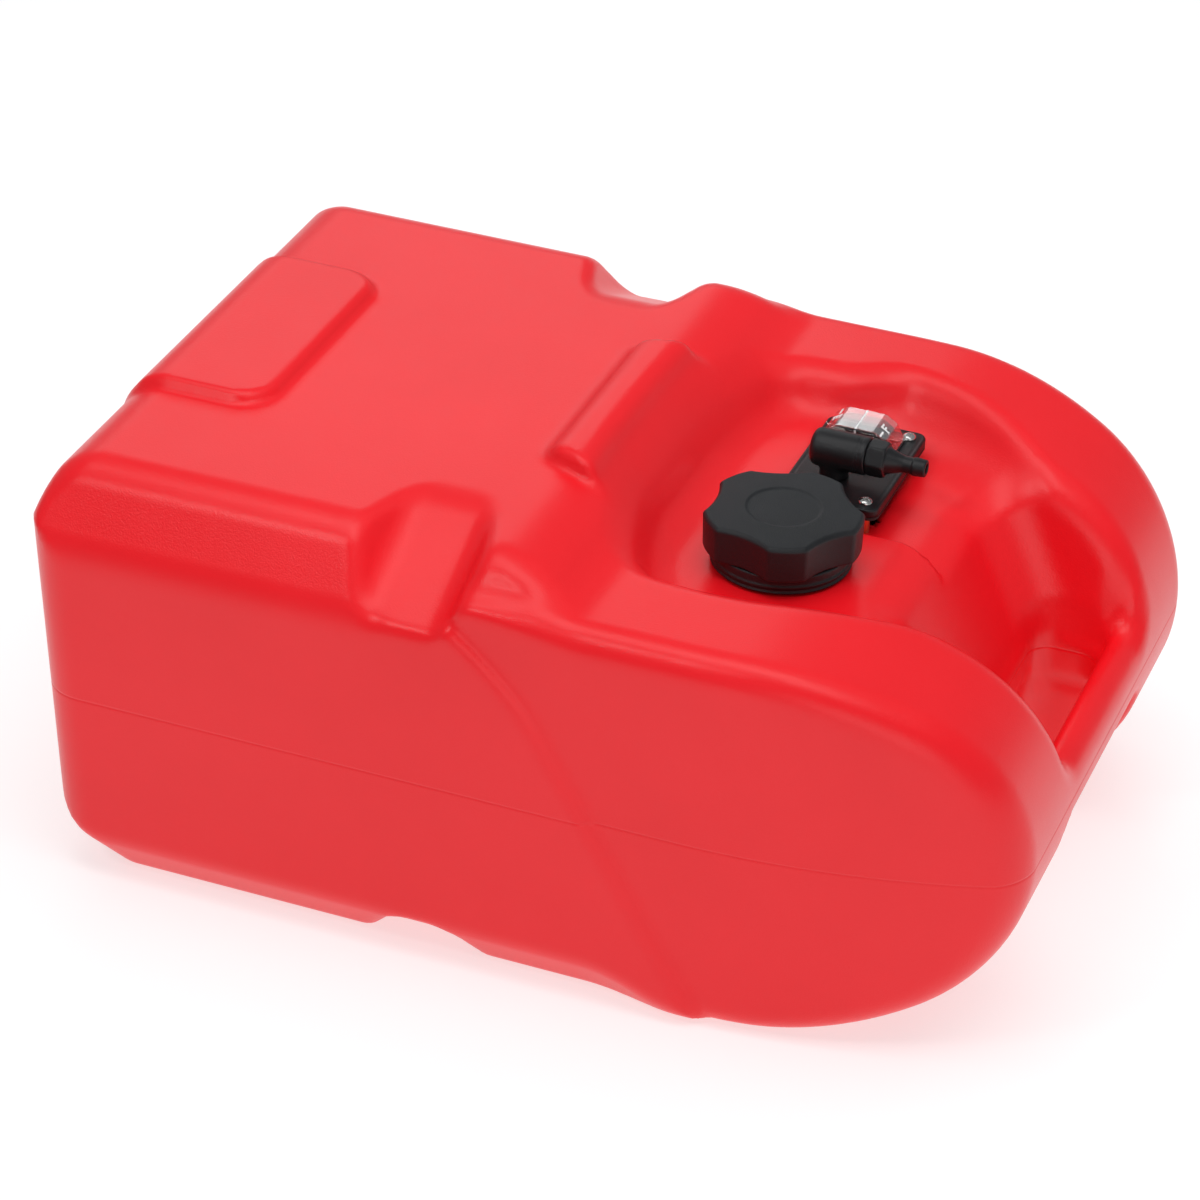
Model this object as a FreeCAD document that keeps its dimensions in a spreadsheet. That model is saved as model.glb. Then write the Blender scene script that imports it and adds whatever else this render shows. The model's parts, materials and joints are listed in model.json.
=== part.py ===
import FreeCAD, Part
import Sketcher
import math
import os

# Portable outboard fuel tank, in millimetres. The origin is at the middle of
# the base, +Z is up and +X points to the carrying handle.

Vector = FreeCAD.Vector
Rotation = FreeCAD.Rotation
Placement = FreeCAD.Placement

doc = FreeCAD.newDocument("fuel_tank")

SIZES = {
    # moulded tank, outer form
    "tank_front": 256,
    "tank_back": 250,
    "back_lean": 13,
    "block_half_width": 184.5,
    "block_top": 231,
    "parting_lift": 0.5,
    "tank_wall": 3.5,
    "back_corner": 23,
    "shoulder_run": 28.5,
    "shoulder_drop": 37,
    "shoulder_round": 10,
    "back_run": 16,
    "back_drop": 22,
    "back_round": 10,
    "foot_run": 12,
    "foot_rise": 20,
    "foot_round": 6,
    "back_foot_run": 36,
    "back_foot_rise": 44,
    "step_start": 2,
    "step_end": 28,
    "crease_top": -22,
    "crease_bend": 17,
    "crease_bend_drop": 81,
    "crease_foot": 107,
    "panel_step": 3.5,
    # rounded nose with the two rails
    "rail_drop": 18,
    "nose_centre": 112,
    "nose_tip_ease": 11,
    "bow_start": 87,
    "bow_radius": 460,
    "rail_round": 17,
    # recess that holds the cap and the gauge
    "well_depth": 41,
    "well_back": 31,
    "well_back_half": 62,
    "well_wide_half": 107,
    "well_wide_front": 124,
    "well_front_half": 58,
    "well_lean": 33,
    "ramp_start": 153,
    "ramp_half": 86,
    # carrying handle
    "grip_back": 234,
    "grip_top": 126,
    "grip_bottom": 92,
    "hand_hole_back": 197,
    "hand_half": 64,
    "hand_flare": 13,
    "web_top": 114,
    "finger_back": 178,
    "finger_half": 72,
    # strap places
    "notch_back": -76,
    "notch_front": -35,
    "notch_flare": 14,
    "notch_inner": 113,
    "groove_back": -76,
    "groove_front": -15,
    "groove_lead": 16,
    "groove_depth": 20,
    # raised places on the top
    "hood_back": -25,
    "hood_half": 60,
    "hood_wide": 74,
    "hood_rise": 9,
    "hood_crest": -4,
    "pad_front": -178,
    "pad_half": 75,
    "pad_rise": 6,
    "pad_run": 18,
    "pad_drop": 24,
    "pad_corner": 20,
    "overrun": 1,
    "grip_relief": 2,
    # filler neck and cap
    "cap_x": 90,
    "cap_y": -40.5,
    "neck_radius": 30,
    "neck_bore": 25,
    "neck_rise": 18,
    "gasket_thick": 2,
    "cap_radius": 40.5,
    "cap_rise": 31,
    "cap_crown": 4.4,
    "grip_skirt": 20.2,
    "lobe_count": 5,
    "scallop_radius": 45,
    "scallop_depth": 5.5,
    "scallop_turn": 40,
    "cap_edge": 2,
    "cap_shoulder": 3,
    "cap_round": 6,
    "crown_fall": 0.5,
    "disc_radius": 18.5,
    "disc_depth": 0.6,
    "skirt_radius": 35,
    "skirt_gap": 1,
    "skirt_band": 9.5,
    "band_proud": 0.8,
    "closure_wall": 2.6,
    "closure_plate": 4,
    "thread_play": 0.4,
    "slip_gap": 0.3,
    "ratchet_count": 18,
    "ratchet_inner": 21,
    "ratchet_root": 28,
    "ratchet_tip": 31.5,
    # vent in the cap
    "vent_hole": 2.5,
    "cage_radius": 7,
    "cage_bore": 5.2,
    "cage_length": 14,
    "valve_radius": 4.6,
    "valve_disc": 1.8,
    "valve_lip": 0.6,
    "valve_stem": 1.5,
    "retainer_thick": 2.8,
    "spring_wire": 0.35,
    "vent_coil": 3,
    "vent_turns": 6,
    # gauge plate and its fasteners
    "plate_x": 95,
    "plate_y": 56,
    "plate_length": 54,
    "plate_width": 87,
    "plate_corner": 6,
    "plate_thick": 4.5,
    "seal_thick": 1.5,
    "opening_length": 44,
    "opening_width": 59,
    "opening_corner": 5,
    "screw_pitch_x": 37.6,
    "screw_pitch_y": 72,
    "screw_radius": 1.9,
    "screw_length": 16,
    "head_radius": 3.7,
    "head_rise": 2.6,
    "head_flat": 2.2,
    "head_side": 0.9,
    "hole_play": 0.2,
    "insert_radius": 2.9,
    "insert_length": 11.5,
    "boss_radius": 5.5,
    "boss_floor": 1.5,
    # level gauge
    "pivot_x": 92,
    "pivot_y": 76.5,
    "pivot_drop": 20,
    "pin_radius": 1.5,
    "pin_play": 0.05,
    "hub_radius": 4.5,
    "hub_width": 8,
    "ear_gap": 0.4,
    "ear_thick": 3.5,
    "ear_width": 13,
    "ear_reach": 5.5,
    "ear_tip": 2.8,
    "bracket_length": 32,
    "bracket_base": 2,
    "bracket_slot": 25,
    "pointer_reach": 27,
    "pointer_root": 3.6,
    "pointer_tip": 1.4,
    "pointer_width": 5,
    "pointer_lean": 33,
    "pointer_slot": 31,
    "slot_width": 10,
    "arm_drop": 116,
    "arm_length": 158,
    "arm_wire": 1.2,
    "arm_start": 5,
    "arm_bend": 6,
    "arm_stub": 2,
    "socket_length": 16,
    "socket_radius": 3.2,
    "float_radius": 14,
    "float_length": 36,
    "float_edge": 3,
    "float_play": 0.1,
    "clip_radius": 4,
    "clip_thick": 1.2,
    # clear window over the pointer
    "lens_half": 21,
    "lens_slope_half": 16.5,
    "lens_slope_rise": 9,
    "lens_flat_half": 10.3,
    "lens_rise": 13,
    "lens_width": 22,
    "lens_wall": 2,
    "lens_seal": 1,
    # fuel outlet and its check valve
    "outlet_x": 90,
    "outlet_y": 40,
    "outlet_rise": 15,
    "outlet_back": 78,
    "outlet_mouth": 108,
    "outlet_radius": 10,
    "outlet_round": 4,
    "outlet_bore": 3,
    "leg_bore": 2,
    "socket_bore": 6.5,
    "leg_radius": 7.5,
    "spigot_radius": 5.5,
    "spigot_depth": 20,
    "check_bore": 4.2,
    "check_ceiling": 1,
    "check_seat": 6,
    "ball_radius": 3.5,
    "ball_gap": 0.05,
    "check_coil": 2.6,
    "check_turns": 6,
    # hose barb
    "barb_start": 98,
    "barb_play": 0.05,
    "seal_seat": 2,
    "seal_groove": 1.2,
    "seal_section": 0.5,
    "hex_across": 17,
    "hex_length": 10,
    "cone_length": 8,
    "cone_radius": 7.5,
    "shank_radius": 4.4,
    "shank_length": 6,
    "barb_radius": 4.9,
    "barb_length": 7,
    "barb_lead": 1,
    "barb_bore": 2.6,
    # pickup
    "tube_wall": 1.2,
    "tube_bottom": 10,
    "filter_radius": 8,
    "filter_top": 24,
    "filter_floor": 5.5,
    "filter_wall": 1.5,
    "filter_slots": 8,
    "filter_slot": 3,
}

dims = doc.addObject("Spreadsheet::Sheet", "dims")
for row, (alias, value) in enumerate(SIZES.items(), start=1):
    dims.set("A%d" % row, alias)
    dims.set("B%d" % row, str(value))
    dims.setAlias("B%d" % row, alias)
doc.recompute()


def size_of(expression):
    """The number that an expression on the sheet stands for."""
    return float(dims.evalExpression(str(expression)))


RAIL_TOP = "(dims.block_top - dims.rail_drop)"
PARTING = "(" + RAIL_TOP + " / 2 + dims.parting_lift)"
WELL_FLOOR = "(dims.block_top - dims.well_depth)"
PLATE_TOP = "(" + WELL_FLOOR + " + dims.seal_thick + dims.plate_thick)"
NECK_TOP = "(" + WELL_FLOOR + " + dims.neck_rise)"
CAP_SEAT = "(" + NECK_TOP + " + dims.gasket_thick)"
PIVOT_HEIGHT = "(" + PLATE_TOP + " - dims.pivot_drop)"
OUTLET_HEIGHT = "(" + PLATE_TOP + " + dims.outlet_rise)"

XY = Rotation()
XZ = Rotation(Vector(1, 0, 0), 90)
YZ = Rotation(Vector(1, 1, 1), 120)
TURN = {"XY": XY, "XZ": XZ, "YZ": YZ}


def draw(sketch, outline):
    """A closed outline: (across, up) corners, and a third entry bends the run after it."""
    places = [(size_of(corner[0]), size_of(corner[1])) for corner in outline]
    count = len(outline)
    for index, corner in enumerate(outline):
        start = Vector(*places[index], 0)
        end = Vector(*places[(index + 1) % count], 0)
        if len(corner) == 2:
            sketch.addGeometry(Part.LineSegment(start, end), False)
            continue
        radius = size_of(corner[2])
        chord = end - start
        side = Vector(-chord.y, chord.x, 0).normalize()
        sag = math.sqrt(radius * radius - chord.Length * chord.Length / 4)
        centre = (start + end) * 0.5 + side * math.copysign(sag, radius)
        toward = ((start + end) * 0.5 - centre).normalize()
        middle = centre + toward * abs(radius)
        sketch.addGeometry(Part.Arc(start, middle, end), False)
    for index, corner in enumerate(outline):
        follower = (index + 1) % count
        head = start_point(sketch, index, places[index])
        tail = 3 - start_point(sketch, index, places[index])
        next_head = start_point(sketch, follower, places[follower])
        sketch.addConstraint(Sketcher.Constraint("Coincident", index, tail, follower, next_head))
        for kind, entry in (("DistanceX", 0), ("DistanceY", 1)):
            rule = Sketcher.Constraint(kind, -1, 1, index, head, places[index][entry])
            number = sketch.addConstraint(rule)
            sketch.setExpression("Constraints[%d]" % number, str(corner[entry]))
        if len(corner) > 2:
            number = sketch.addConstraint(Sketcher.Constraint("Radius", index, abs(size_of(corner[2]))))
            sketch.setExpression("Constraints[%d]" % number, "abs(%s)" % corner[2])
    return sketch


def start_point(sketch, index, place):
    """Which end of a run lies at the given place: an arc may be stored the other way round."""
    run = sketch.Geometry[index]
    gap = (run.StartPoint - Vector(*place, 0)).Length
    far = (run.EndPoint - Vector(*place, 0)).Length
    return 1 if gap <= far else 2


def outline(name, plane, corners, offset="0"):
    """A free sketch on a main plane, shifted along the plane's normal axis."""
    sketch = doc.addObject("Sketcher::SketchObject", name)
    sketch.Placement = Placement(Vector(), TURN[plane])
    axis = {"XY": "z", "XZ": "y", "YZ": "x"}[plane]
    sketch.setExpression(".Placement.Base." + axis, str(offset))
    return draw(sketch, corners)


def extrude(name, sketch, forward, backward="0", direction=None):
    """A solid along the main axis of the sketch's plane, or along a given direction."""
    solid = doc.addObject("Part::Extrusion", name)
    solid.Base = sketch
    solid.Solid = True
    solid.DirMode = "Custom"
    solid.Dir = direction
    solid.setExpression("LengthFwd", str(forward))
    solid.setExpression("LengthRev", str(backward))
    return solid


ALONG_X = Vector(1, 0, 0)
ALONG_Y = Vector(0, 1, 0)
ALONG_Z = Vector(0, 0, 1)


def fuse(name, pieces):
    joined = doc.addObject("Part::MultiFuse", name)
    joined.Shapes = pieces
    joined.Refine = True
    return joined


def common(name, pieces):
    shared = doc.addObject("Part::MultiCommon", name)
    shared.Shapes = pieces
    shared.Refine = True
    return shared


def cut(name, base, tool):
    left = doc.addObject("Part::Cut", name)
    left.Base = base
    left.Tool = tool
    left.Refine = True
    return left


def loft(name, sections, ruled=True):
    solid = doc.addObject("Part::Loft", name)
    solid.Sections = sections
    solid.Solid = True
    solid.Ruled = ruled
    return solid


def edges_where(shape, test):
    return [number for number, edge in enumerate(shape.Edges, start=1) if test(edge)]


def soften(name, base, test, radius):
    """A fillet on the edges of a finished piece that pass a test."""
    doc.recompute()
    rounded = doc.addObject("Part::Fillet", name)
    rounded.Base = base
    value = size_of(radius)
    rounded.Edges = [(number, value, value) for number in edges_where(base.Shape, test)]
    return rounded


def oval(reach, rise, tip):
    """The larger radius of a quarter oval made of two arcs, and the arcs' meeting point."""
    crown = "(((%s) - (%s))^2 + (%s)^2 - (%s)^2) / (2 * ((%s) - (%s)))" % (reach, tip, rise, tip, rise, tip)
    share = "(%s) / ((%s) - (%s))" % (tip, crown, tip)
    across = "((%s) - (%s)) * (1 + %s)" % (reach, tip, share)
    up = "((%s) - (%s)) * %s" % (crown, rise, share)
    return crown, across, up


def half_outline(corners):
    """Both halves of an outline that is the same either side of the middle."""
    other = [("%s" % corner[0], "-(%s)" % corner[1]) for corner in reversed(corners)]
    return list(corners) + other


def back_wall(height, inset):
    """How far back the leaning rear wall is at a height."""
    return "-(dims.tank_back + dims.back_lean * (%s) / dims.block_top - %s)" % (height, inset)


def tank_trunk(tag, inset):
    """Nose and rails: a plan outline and a side outline, both extruded, in common."""
    half = "(dims.block_half_width - dims.panel_step - %s)" % inset
    start = "dims.notch_back + (dims.notch_front - dims.notch_back) / 2"
    front = "(dims.tank_front - %s)" % inset
    bow = "(dims.bow_radius - %s)" % inset
    centre = "(dims.bow_radius - dims.block_half_width + dims.panel_step)"
    end_half = "(sqrt(%s^2 - (%s - dims.bow_start)^2) - %s)" % (bow, front, centre)
    plan = outline(tag + "_plan", "XY", [
        (start, "-" + half),
        ("dims.bow_start", "-" + half, bow),
        (front, "-" + end_half),
        (front, end_half, bow),
        ("dims.bow_start", half),
        (start, half),
    ])
    tall = extrude(tag + "_plan_form", plan, "dims.block_top", direction=ALONG_Z)
    reach = "dims.tank_front - dims.nose_centre - %s" % inset
    rise = RAIL_TOP + " - " + PARTING + " - %s" % inset
    fall = PARTING + " - %s" % inset
    tip = rise + " - dims.nose_tip_ease"
    crown, over_x, over_z = oval(reach, rise, tip)
    belly, under_x, under_z = oval(reach, fall, tip)
    side = outline(tag + "_side", "XZ", [
        (start, "0 + %s" % inset),
        ("dims.nose_centre", "0 + %s" % inset, belly),
        ("dims.nose_centre + %s" % under_x, PARTING + " - %s" % under_z, tip),
        (front, PARTING, tip),
        ("dims.nose_centre + %s" % over_x, PARTING + " + %s" % over_z, crown),
        ("dims.nose_centre", RAIL_TOP + " - %s" % inset),
        (start, RAIL_TOP + " - %s" % inset),
    ])
    wide = extrude(tag + "_side_form", side, "dims.block_half_width", "dims.block_half_width", ALONG_Y)
    rough = common(tag + "_rough_trunk", [tall, wide])
    return soften(tag + "_trunk", rough, on_trunk_flank, "dims.rail_round - %s" % inset)


def is_upright(edge):
    return abs(edge.tangentAt(edge.FirstParameter).z) > 0.99


def on_trunk_flank(edge):
    """The long edges between the trunk's sides and its top or base."""
    start, end = edge.Vertexes[0].Point, edge.Vertexes[-1].Point
    across = abs(start.y - end.y) > size_of(RAIL_TOP)
    upright = is_upright(edge)
    beside = min(abs(start.y), abs(end.y)) > size_of("dims.block_half_width / 2")
    at_start = max(start.x, end.x) < 0
    return beside and not across and not upright and not at_start


def is_along(edge, axis):
    return abs(edge.tangentAt(edge.FirstParameter).dot(axis)) > 0.99


def tank_block(tag, inset):
    """The square rear part: three rounded outlines in common, with sloping shoulders and feet."""
    half = "dims.block_half_width - %s" % inset
    flat = "dims.block_half_width - dims.shoulder_run - %s / 2" % inset
    foot = "dims.block_half_width - dims.foot_run - %s / 2" % inset
    top = "dims.block_top - %s" % inset
    low = "dims.block_top - dims.shoulder_drop - %s / 2" % inset
    section = outline(tag + "_section", "YZ", half_section([
        (foot, "0 + %s" % inset),
        (half, "dims.foot_rise + %s / 2" % inset),
        (half, low),
        (flat, top),
    ]))
    long_form = extrude(tag + "_section_form", section, "dims.crease_foot",
                        "dims.tank_back + dims.back_lean", ALONG_X)
    level = size_of(PARTING)
    shouldered = soften(tag + "_shoulders", long_form,
                        lambda edge: is_along(edge, ALONG_X) and edge.CenterOfMass.z > level,
                        "dims.shoulder_round - %s" % inset)
    footed = soften(tag + "_feet", shouldered,
                    lambda edge: is_along(edge, ALONG_X) and on_foot(edge),
                    "dims.foot_round - %s" % inset)
    back_top = "dims.block_top - dims.back_drop"
    side = outline(tag + "_panel", "XZ", [
        (back_wall("0", inset) + " + dims.back_foot_run", "0 + %s" % inset),
        ("dims.crease_foot - %s" % inset, "0 + %s" % inset),
        ("dims.crease_bend - %s" % inset, "dims.block_top - dims.crease_bend_drop"),
        ("dims.crease_top - %s" % inset, "dims.block_top - dims.shoulder_drop"),
        ("dims.step_end - %s" % inset, RAIL_TOP + " - dims.overrun - %s" % inset),
        ("dims.step_start - %s / 2" % inset, top),
        (back_wall("dims.block_top", "%s / 2" % inset) + " + dims.back_run", top),
        (back_wall(back_top, inset), back_top + " - %s / 2" % inset),
        (back_wall("dims.back_foot_rise", inset), "dims.back_foot_rise + %s / 2" % inset),
    ])
    side_form = extrude(tag + "_panel_form", side, "dims.block_half_width", "dims.block_half_width",
                        ALONG_Y)
    ahead = size_of("dims.notch_back")
    backed = soften(tag + "_rear_edges", side_form,
                    lambda edge: is_along(edge, ALONG_Y) and edge.CenterOfMass.x < ahead,
                    "dims.back_round - %s" % inset)
    plan = outline(tag + "_base", "XY", [
        (back_wall("0", inset), "-(%s)" % half),
        ("dims.crease_foot + dims.back_lean", "-(%s)" % half),
        ("dims.crease_foot + dims.back_lean", half),
        (back_wall("0", inset), half),
    ])
    tall = extrude(tag + "_base_form", plan, "dims.block_top + dims.overrun", direction=ALONG_Z)
    tall.Dir = Vector(-size_of("dims.back_lean"), 0, size_of("dims.block_top")).normalize()
    cornered = soften(tag + "_corners", tall, lambda edge: is_upright(edge) and edge.CenterOfMass.x < 0,
                      "dims.back_corner - %s" % inset)
    return common(tag + "_block", [footed, backed, cornered])


def on_foot(edge):
    """The edges of a lengthwise form below its upright walls."""
    return edge.CenterOfMass.z < size_of(PARTING + " / 2")


def half_section(corners):
    """A section that is the same on both sides of the middle plane."""
    mirrored = [("-(%s)" % across, up) for across, up in reversed(corners)]
    return corners + mirrored


def raised_places(tag, inset):
    """The hood behind the recess and the pad over the rear edge."""
    crest = "dims.block_top + dims.hood_rise - %s" % inset
    root = RAIL_TOP + " - dims.shoulder_drop"
    slope_foot = "dims.hood_crest + 2 * dims.hood_rise - %s" % inset
    side = outline(tag + "_hood_side", "XZ", [
        ("dims.hood_back - dims.hood_rise / 2 + %s" % inset, root),
        (slope_foot, root),
        (slope_foot, RAIL_TOP),
        ("dims.hood_crest - %s / 2" % inset, crest),
        ("dims.hood_back + %s" % inset, crest),
        ("dims.hood_back - dims.hood_rise / 2 + %s" % inset, "dims.block_top - %s" % inset),
    ])
    wide = extrude(tag + "_hood_side_form", side, "dims.hood_wide * 2", "dims.hood_wide * 2", ALONG_Y)
    plan = outline(tag + "_hood_plan", "XY", half_outline([
        ("dims.hood_back - dims.hood_rise", "-dims.hood_half + %s" % inset),
        ("dims.hood_crest", "-dims.hood_wide + %s" % inset),
        ("dims.well_back", "-dims.hood_wide - dims.hood_rise + %s" % inset),
    ]))
    tall = extrude(tag + "_hood_plan_form", plan, "dims.block_top + dims.hood_rise", direction=ALONG_Z)
    hood = common(tag + "_hood", [wide, tall])
    pad_top = "dims.block_top + dims.pad_rise - %s" % inset
    pad_edge = "dims.block_top + dims.pad_rise - dims.pad_drop"
    low = "dims.block_top - dims.shoulder_drop"
    pad_side = outline(tag + "_pad_side", "XZ", [
        (back_wall(low, inset), low),
        ("dims.pad_front - %s" % inset, low),
        ("dims.pad_front - %s" % inset, pad_top),
        (back_wall("dims.block_top", "%s / 2" % inset) + " + dims.pad_run", pad_top),
        (back_wall(pad_edge, inset), pad_edge + " - %s / 2" % inset),
    ])
    pad_wide = extrude(tag + "_pad_side_form", pad_side, "dims.pad_half - %s" % inset,
                       "dims.pad_half - %s" % inset, ALONG_Y)
    pad_front = size_of("dims.pad_front - dims.pad_rise")
    pad = soften(tag + "_pad", pad_wide,
                 lambda edge: is_upright(edge) and edge.CenterOfMass.x > pad_front,
                 "dims.pad_corner - %s" % inset)
    return [hood, pad]


def recess_tools(tag, wall):
    """Everything that is hollowed into the outer form, grown by the wall for the inner one."""
    floor = WELL_FLOOR + " - %s" % wall
    grow = "%s / 2" % wall
    front = "dims.tank_front + dims.ramp_start - dims.well_back"
    well_plan = outline(tag + "_well_plan", "XY", half_outline([
        ("dims.well_back - %s" % grow, "-dims.well_back_half - %s" % grow),
        ("dims.well_back + dims.hand_flare - %s" % grow,
         "-dims.well_wide_half + dims.hand_flare / 2 - %s" % grow),
        ("dims.well_wide_front", "-dims.well_wide_half - %s" % grow),
        ("dims.ramp_start", "-dims.ramp_half - %s" % grow),
        ("dims.grip_back", "-dims.well_front_half - %s" % grow),
        (front, "-dims.well_front_half - %s" % grow),
    ]), floor)
    well_reach = "dims.well_depth + dims.tank_wall * 4"
    well = extrude(tag + "_well", well_plan, well_reach, direction=ALONG_Z)
    well.setExpression("TaperAngle", "dims.well_lean")
    rise = WELL_FLOOR + " + dims.hood_rise - dims.web_top"
    trough_low = outline(tag + "_trough_low", "XY", [
        ("dims.hand_hole_back - %s" % wall, "-dims.hand_half - %s" % wall),
        ("dims.grip_back + %s" % wall, "-dims.hand_half - %s" % wall),
        ("dims.grip_back + %s" % wall, "dims.hand_half + %s" % wall),
        ("dims.hand_hole_back - %s" % wall, "dims.hand_half + %s" % wall),
    ], "dims.web_top - %s" % wall)
    past_nose = "dims.tank_front + dims.hood_rise + "
    trough_high = outline(tag + "_trough_high", "XY", [
        ("dims.ramp_start - dims.hood_rise / 2 - %s" % wall, "-dims.ramp_half - %s" % wall),
        (past_nose + wall, "-dims.hand_half - dims.hand_flare - %s" % wall),
        (past_nose + wall, "dims.hand_half + dims.hand_flare + %s" % wall),
        ("dims.ramp_start - dims.hood_rise / 2 - %s" % wall, "dims.ramp_half + %s" % wall),
    ], "dims.web_top + " + rise)
    trough = loft(tag + "_trough", [trough_low, trough_high])
    over_grip = outline(tag + "_over_grip", "YZ", half_section([
        ("dims.hand_half + dims.grip_relief + %s" % wall, "dims.grip_top - %s" % wall),
        ("dims.hand_half + dims.hand_flare + %s" % wall, "dims.web_top + " + rise),
    ]), "dims.grip_back - dims.grip_relief")
    gap_over = extrude(tag + "_gap_over", over_grip, "dims.tank_front", direction=ALONG_X)
    finger_low = outline(tag + "_finger_low", "XY", [
        ("dims.finger_back - %s" % wall, "-dims.finger_half - %s" % wall),
        ("dims.tank_front + dims.hood_rise", "-dims.finger_half - %s" % wall),
        ("dims.tank_front + dims.hood_rise", "dims.finger_half + %s" % wall),
        ("dims.finger_back - %s" % wall, "dims.finger_half + %s" % wall),
    ], "-%s - dims.overrun" % wall)
    finger_high = outline(tag + "_finger_high", "XY", [
        ("dims.hand_hole_back - %s" % wall, "-dims.hand_half - %s" % wall),
        ("dims.tank_front + dims.hood_rise", "-dims.hand_half - %s" % wall),
        ("dims.tank_front + dims.hood_rise", "dims.hand_half + %s" % wall),
        ("dims.hand_hole_back - %s" % wall, "dims.hand_half + %s" % wall),
    ], "dims.grip_bottom + %s" % wall)
    finger = loft(tag + "_finger", [finger_low, finger_high])
    hole_plan = outline(tag + "_hole_plan", "XY", [
        ("dims.hand_hole_back - %s" % wall, "-dims.hand_half - %s" % wall),
        ("dims.grip_back + %s" % wall, "-dims.hand_half - %s" % wall),
        ("dims.grip_back + %s" % wall, "dims.hand_half + %s" % wall),
        ("dims.hand_hole_back - %s" % wall, "dims.hand_half + %s" % wall),
    ], "dims.grip_bottom - dims.overrun")
    hole = extrude(tag + "_hole", hole_plan, "dims.grip_top - dims.grip_bottom", direction=ALONG_Z)
    groove_side = outline(tag + "_groove_side", "XZ", [
        ("dims.groove_back - %s" % grow, "-dims.overrun"),
        ("dims.groove_front + %s" % grow, "-dims.overrun"),
        ("dims.groove_front - dims.groove_lead + %s" % grow, "dims.groove_depth + %s" % wall),
        ("dims.groove_back + dims.groove_lead + %s" % ("-" + grow), "dims.groove_depth + %s" % wall),
    ])
    groove = extrude(tag + "_groove", groove_side, "dims.block_half_width", "dims.block_half_width",
                     ALONG_Y)
    notches = [notch_tool(tag, wall, side) for side in (-1, 1)]
    return [well, trough, gap_over, finger, hole, groove] + notches


def notch_tool(tag, wall, side):
    """A strap notch in one shoulder: its floor slopes from the top down to the side wall."""
    name = tag + ("_left" if side > 0 else "_right") + "_notch"
    reach = "(dims.block_half_width - dims.notch_inner)"
    fall = "dims.shoulder_drop / %s" % reach
    start = "dims.notch_inner - 2 * dims.hand_flare"
    above = "dims.block_top + 2 * dims.hand_flare * %s - %s" % (fall, wall)
    tall = "dims.shoulder_drop + dims.hood_rise"
    section = outline(name + "_section", "XZ", [
        ("dims.notch_back - %s / 2" % wall, above),
        ("dims.notch_front + %s / 2" % wall, above),
        ("dims.notch_front + dims.notch_flare * 2 + %s / 2" % wall, above + " + " + tall),
        ("dims.notch_back - dims.notch_flare * 2 - %s / 2" % wall, above + " + " + tall),
    ], "%d * (%s)" % (side, start))
    tool = extrude(name, section, "%s + 4 * dims.hand_flare" % reach, direction=ALONG_Y)
    slope = size_of(fall)
    tool.Dir = Vector(0, side, -slope).normalize()
    return tool


def place(piece, across="0", aside="0", height="0", turn=None):
    """Puts a piece's own origin at a bound place, after an optional turn."""
    piece.Placement = Placement(Vector(), turn or Rotation())
    piece.setExpression(".Placement.Base.x", across)
    piece.setExpression(".Placement.Base.y", aside)
    piece.setExpression(".Placement.Base.z", height)
    return piece


def body(name, across="0", aside="0", height="0"):
    """A PartDesign body whose own origin sits at the given place."""
    return place(doc.addObject("PartDesign::Body", name), across, aside, height)


def sketch_in(owner, name, plane, corners, lift="0"):
    """An outline, or a circle, attached to one of the body's own origin planes."""
    sketch = owner.newObject("Sketcher::SketchObject", owner.Name + "_" + name + "_outline")
    planes = {feature.Role: feature for feature in owner.Origin.OriginFeatures}
    sketch.AttachmentSupport = (planes[plane + "_Plane"], [""])
    sketch.MapMode = "FlatFace"
    sketch.setExpression(".AttachmentOffset.Base.z", lift)
    if callable(corners):
        return corners(sketch)
    return draw(sketch, corners)


def ring(centre_x, centre_y, radius):
    """Gives a function that adds one bound circle to a sketch."""
    def add(sketch):
        centre = Vector(size_of(centre_x), size_of(centre_y), 0)
        index = sketch.addGeometry(Part.Circle(centre, ALONG_Z, size_of(radius)), False)
        rules = (("DistanceX", centre_x, centre.x), ("DistanceY", centre_y, centre.y))
        for kind, text, value in rules:
            number = sketch.addConstraint(Sketcher.Constraint(kind, -1, 1, index, 3, value))
            sketch.setExpression("Constraints[%d]" % number, text)
        number = sketch.addConstraint(Sketcher.Constraint("Radius", index, size_of(radius)))
        sketch.setExpression("Constraints[%d]" % number, radius)
        return sketch
    return add


def turn_round(owner, name, corners, axis="V_Axis", feature="PartDesign::Revolution"):
    """A round form, or a groove, from an outline in the XZ plane turned about one of its axes."""
    form = owner.newObject(feature, owner.Name + "_" + name)
    form.Profile = sketch_in(owner, name, "XZ", corners)
    form.ReferenceAxis = (form.Profile[0], [axis])
    form.Angle = 360
    return form


def pad(owner, name, plane, corners, length, lift="0", middle=False):
    """A solid that grows along the plane's normal, or to both sides of the plane."""
    form = owner.newObject("PartDesign::Pad", owner.Name + "_" + name)
    form.Profile = sketch_in(owner, name, plane, corners, lift)
    form.setExpression("Length", length)
    form.Midplane = middle
    return form


def pocket(owner, name, plane, corners, length, lift="0", middle=False):
    """A cut along the plane's normal, or to both sides of the plane."""
    form = owner.newObject("PartDesign::Pocket", owner.Name + "_" + name)
    form.Profile = sketch_in(owner, name, plane, corners, lift)
    form.setExpression("Length", length)
    form.Midplane = middle
    form.Reversed = True
    return form


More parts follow.
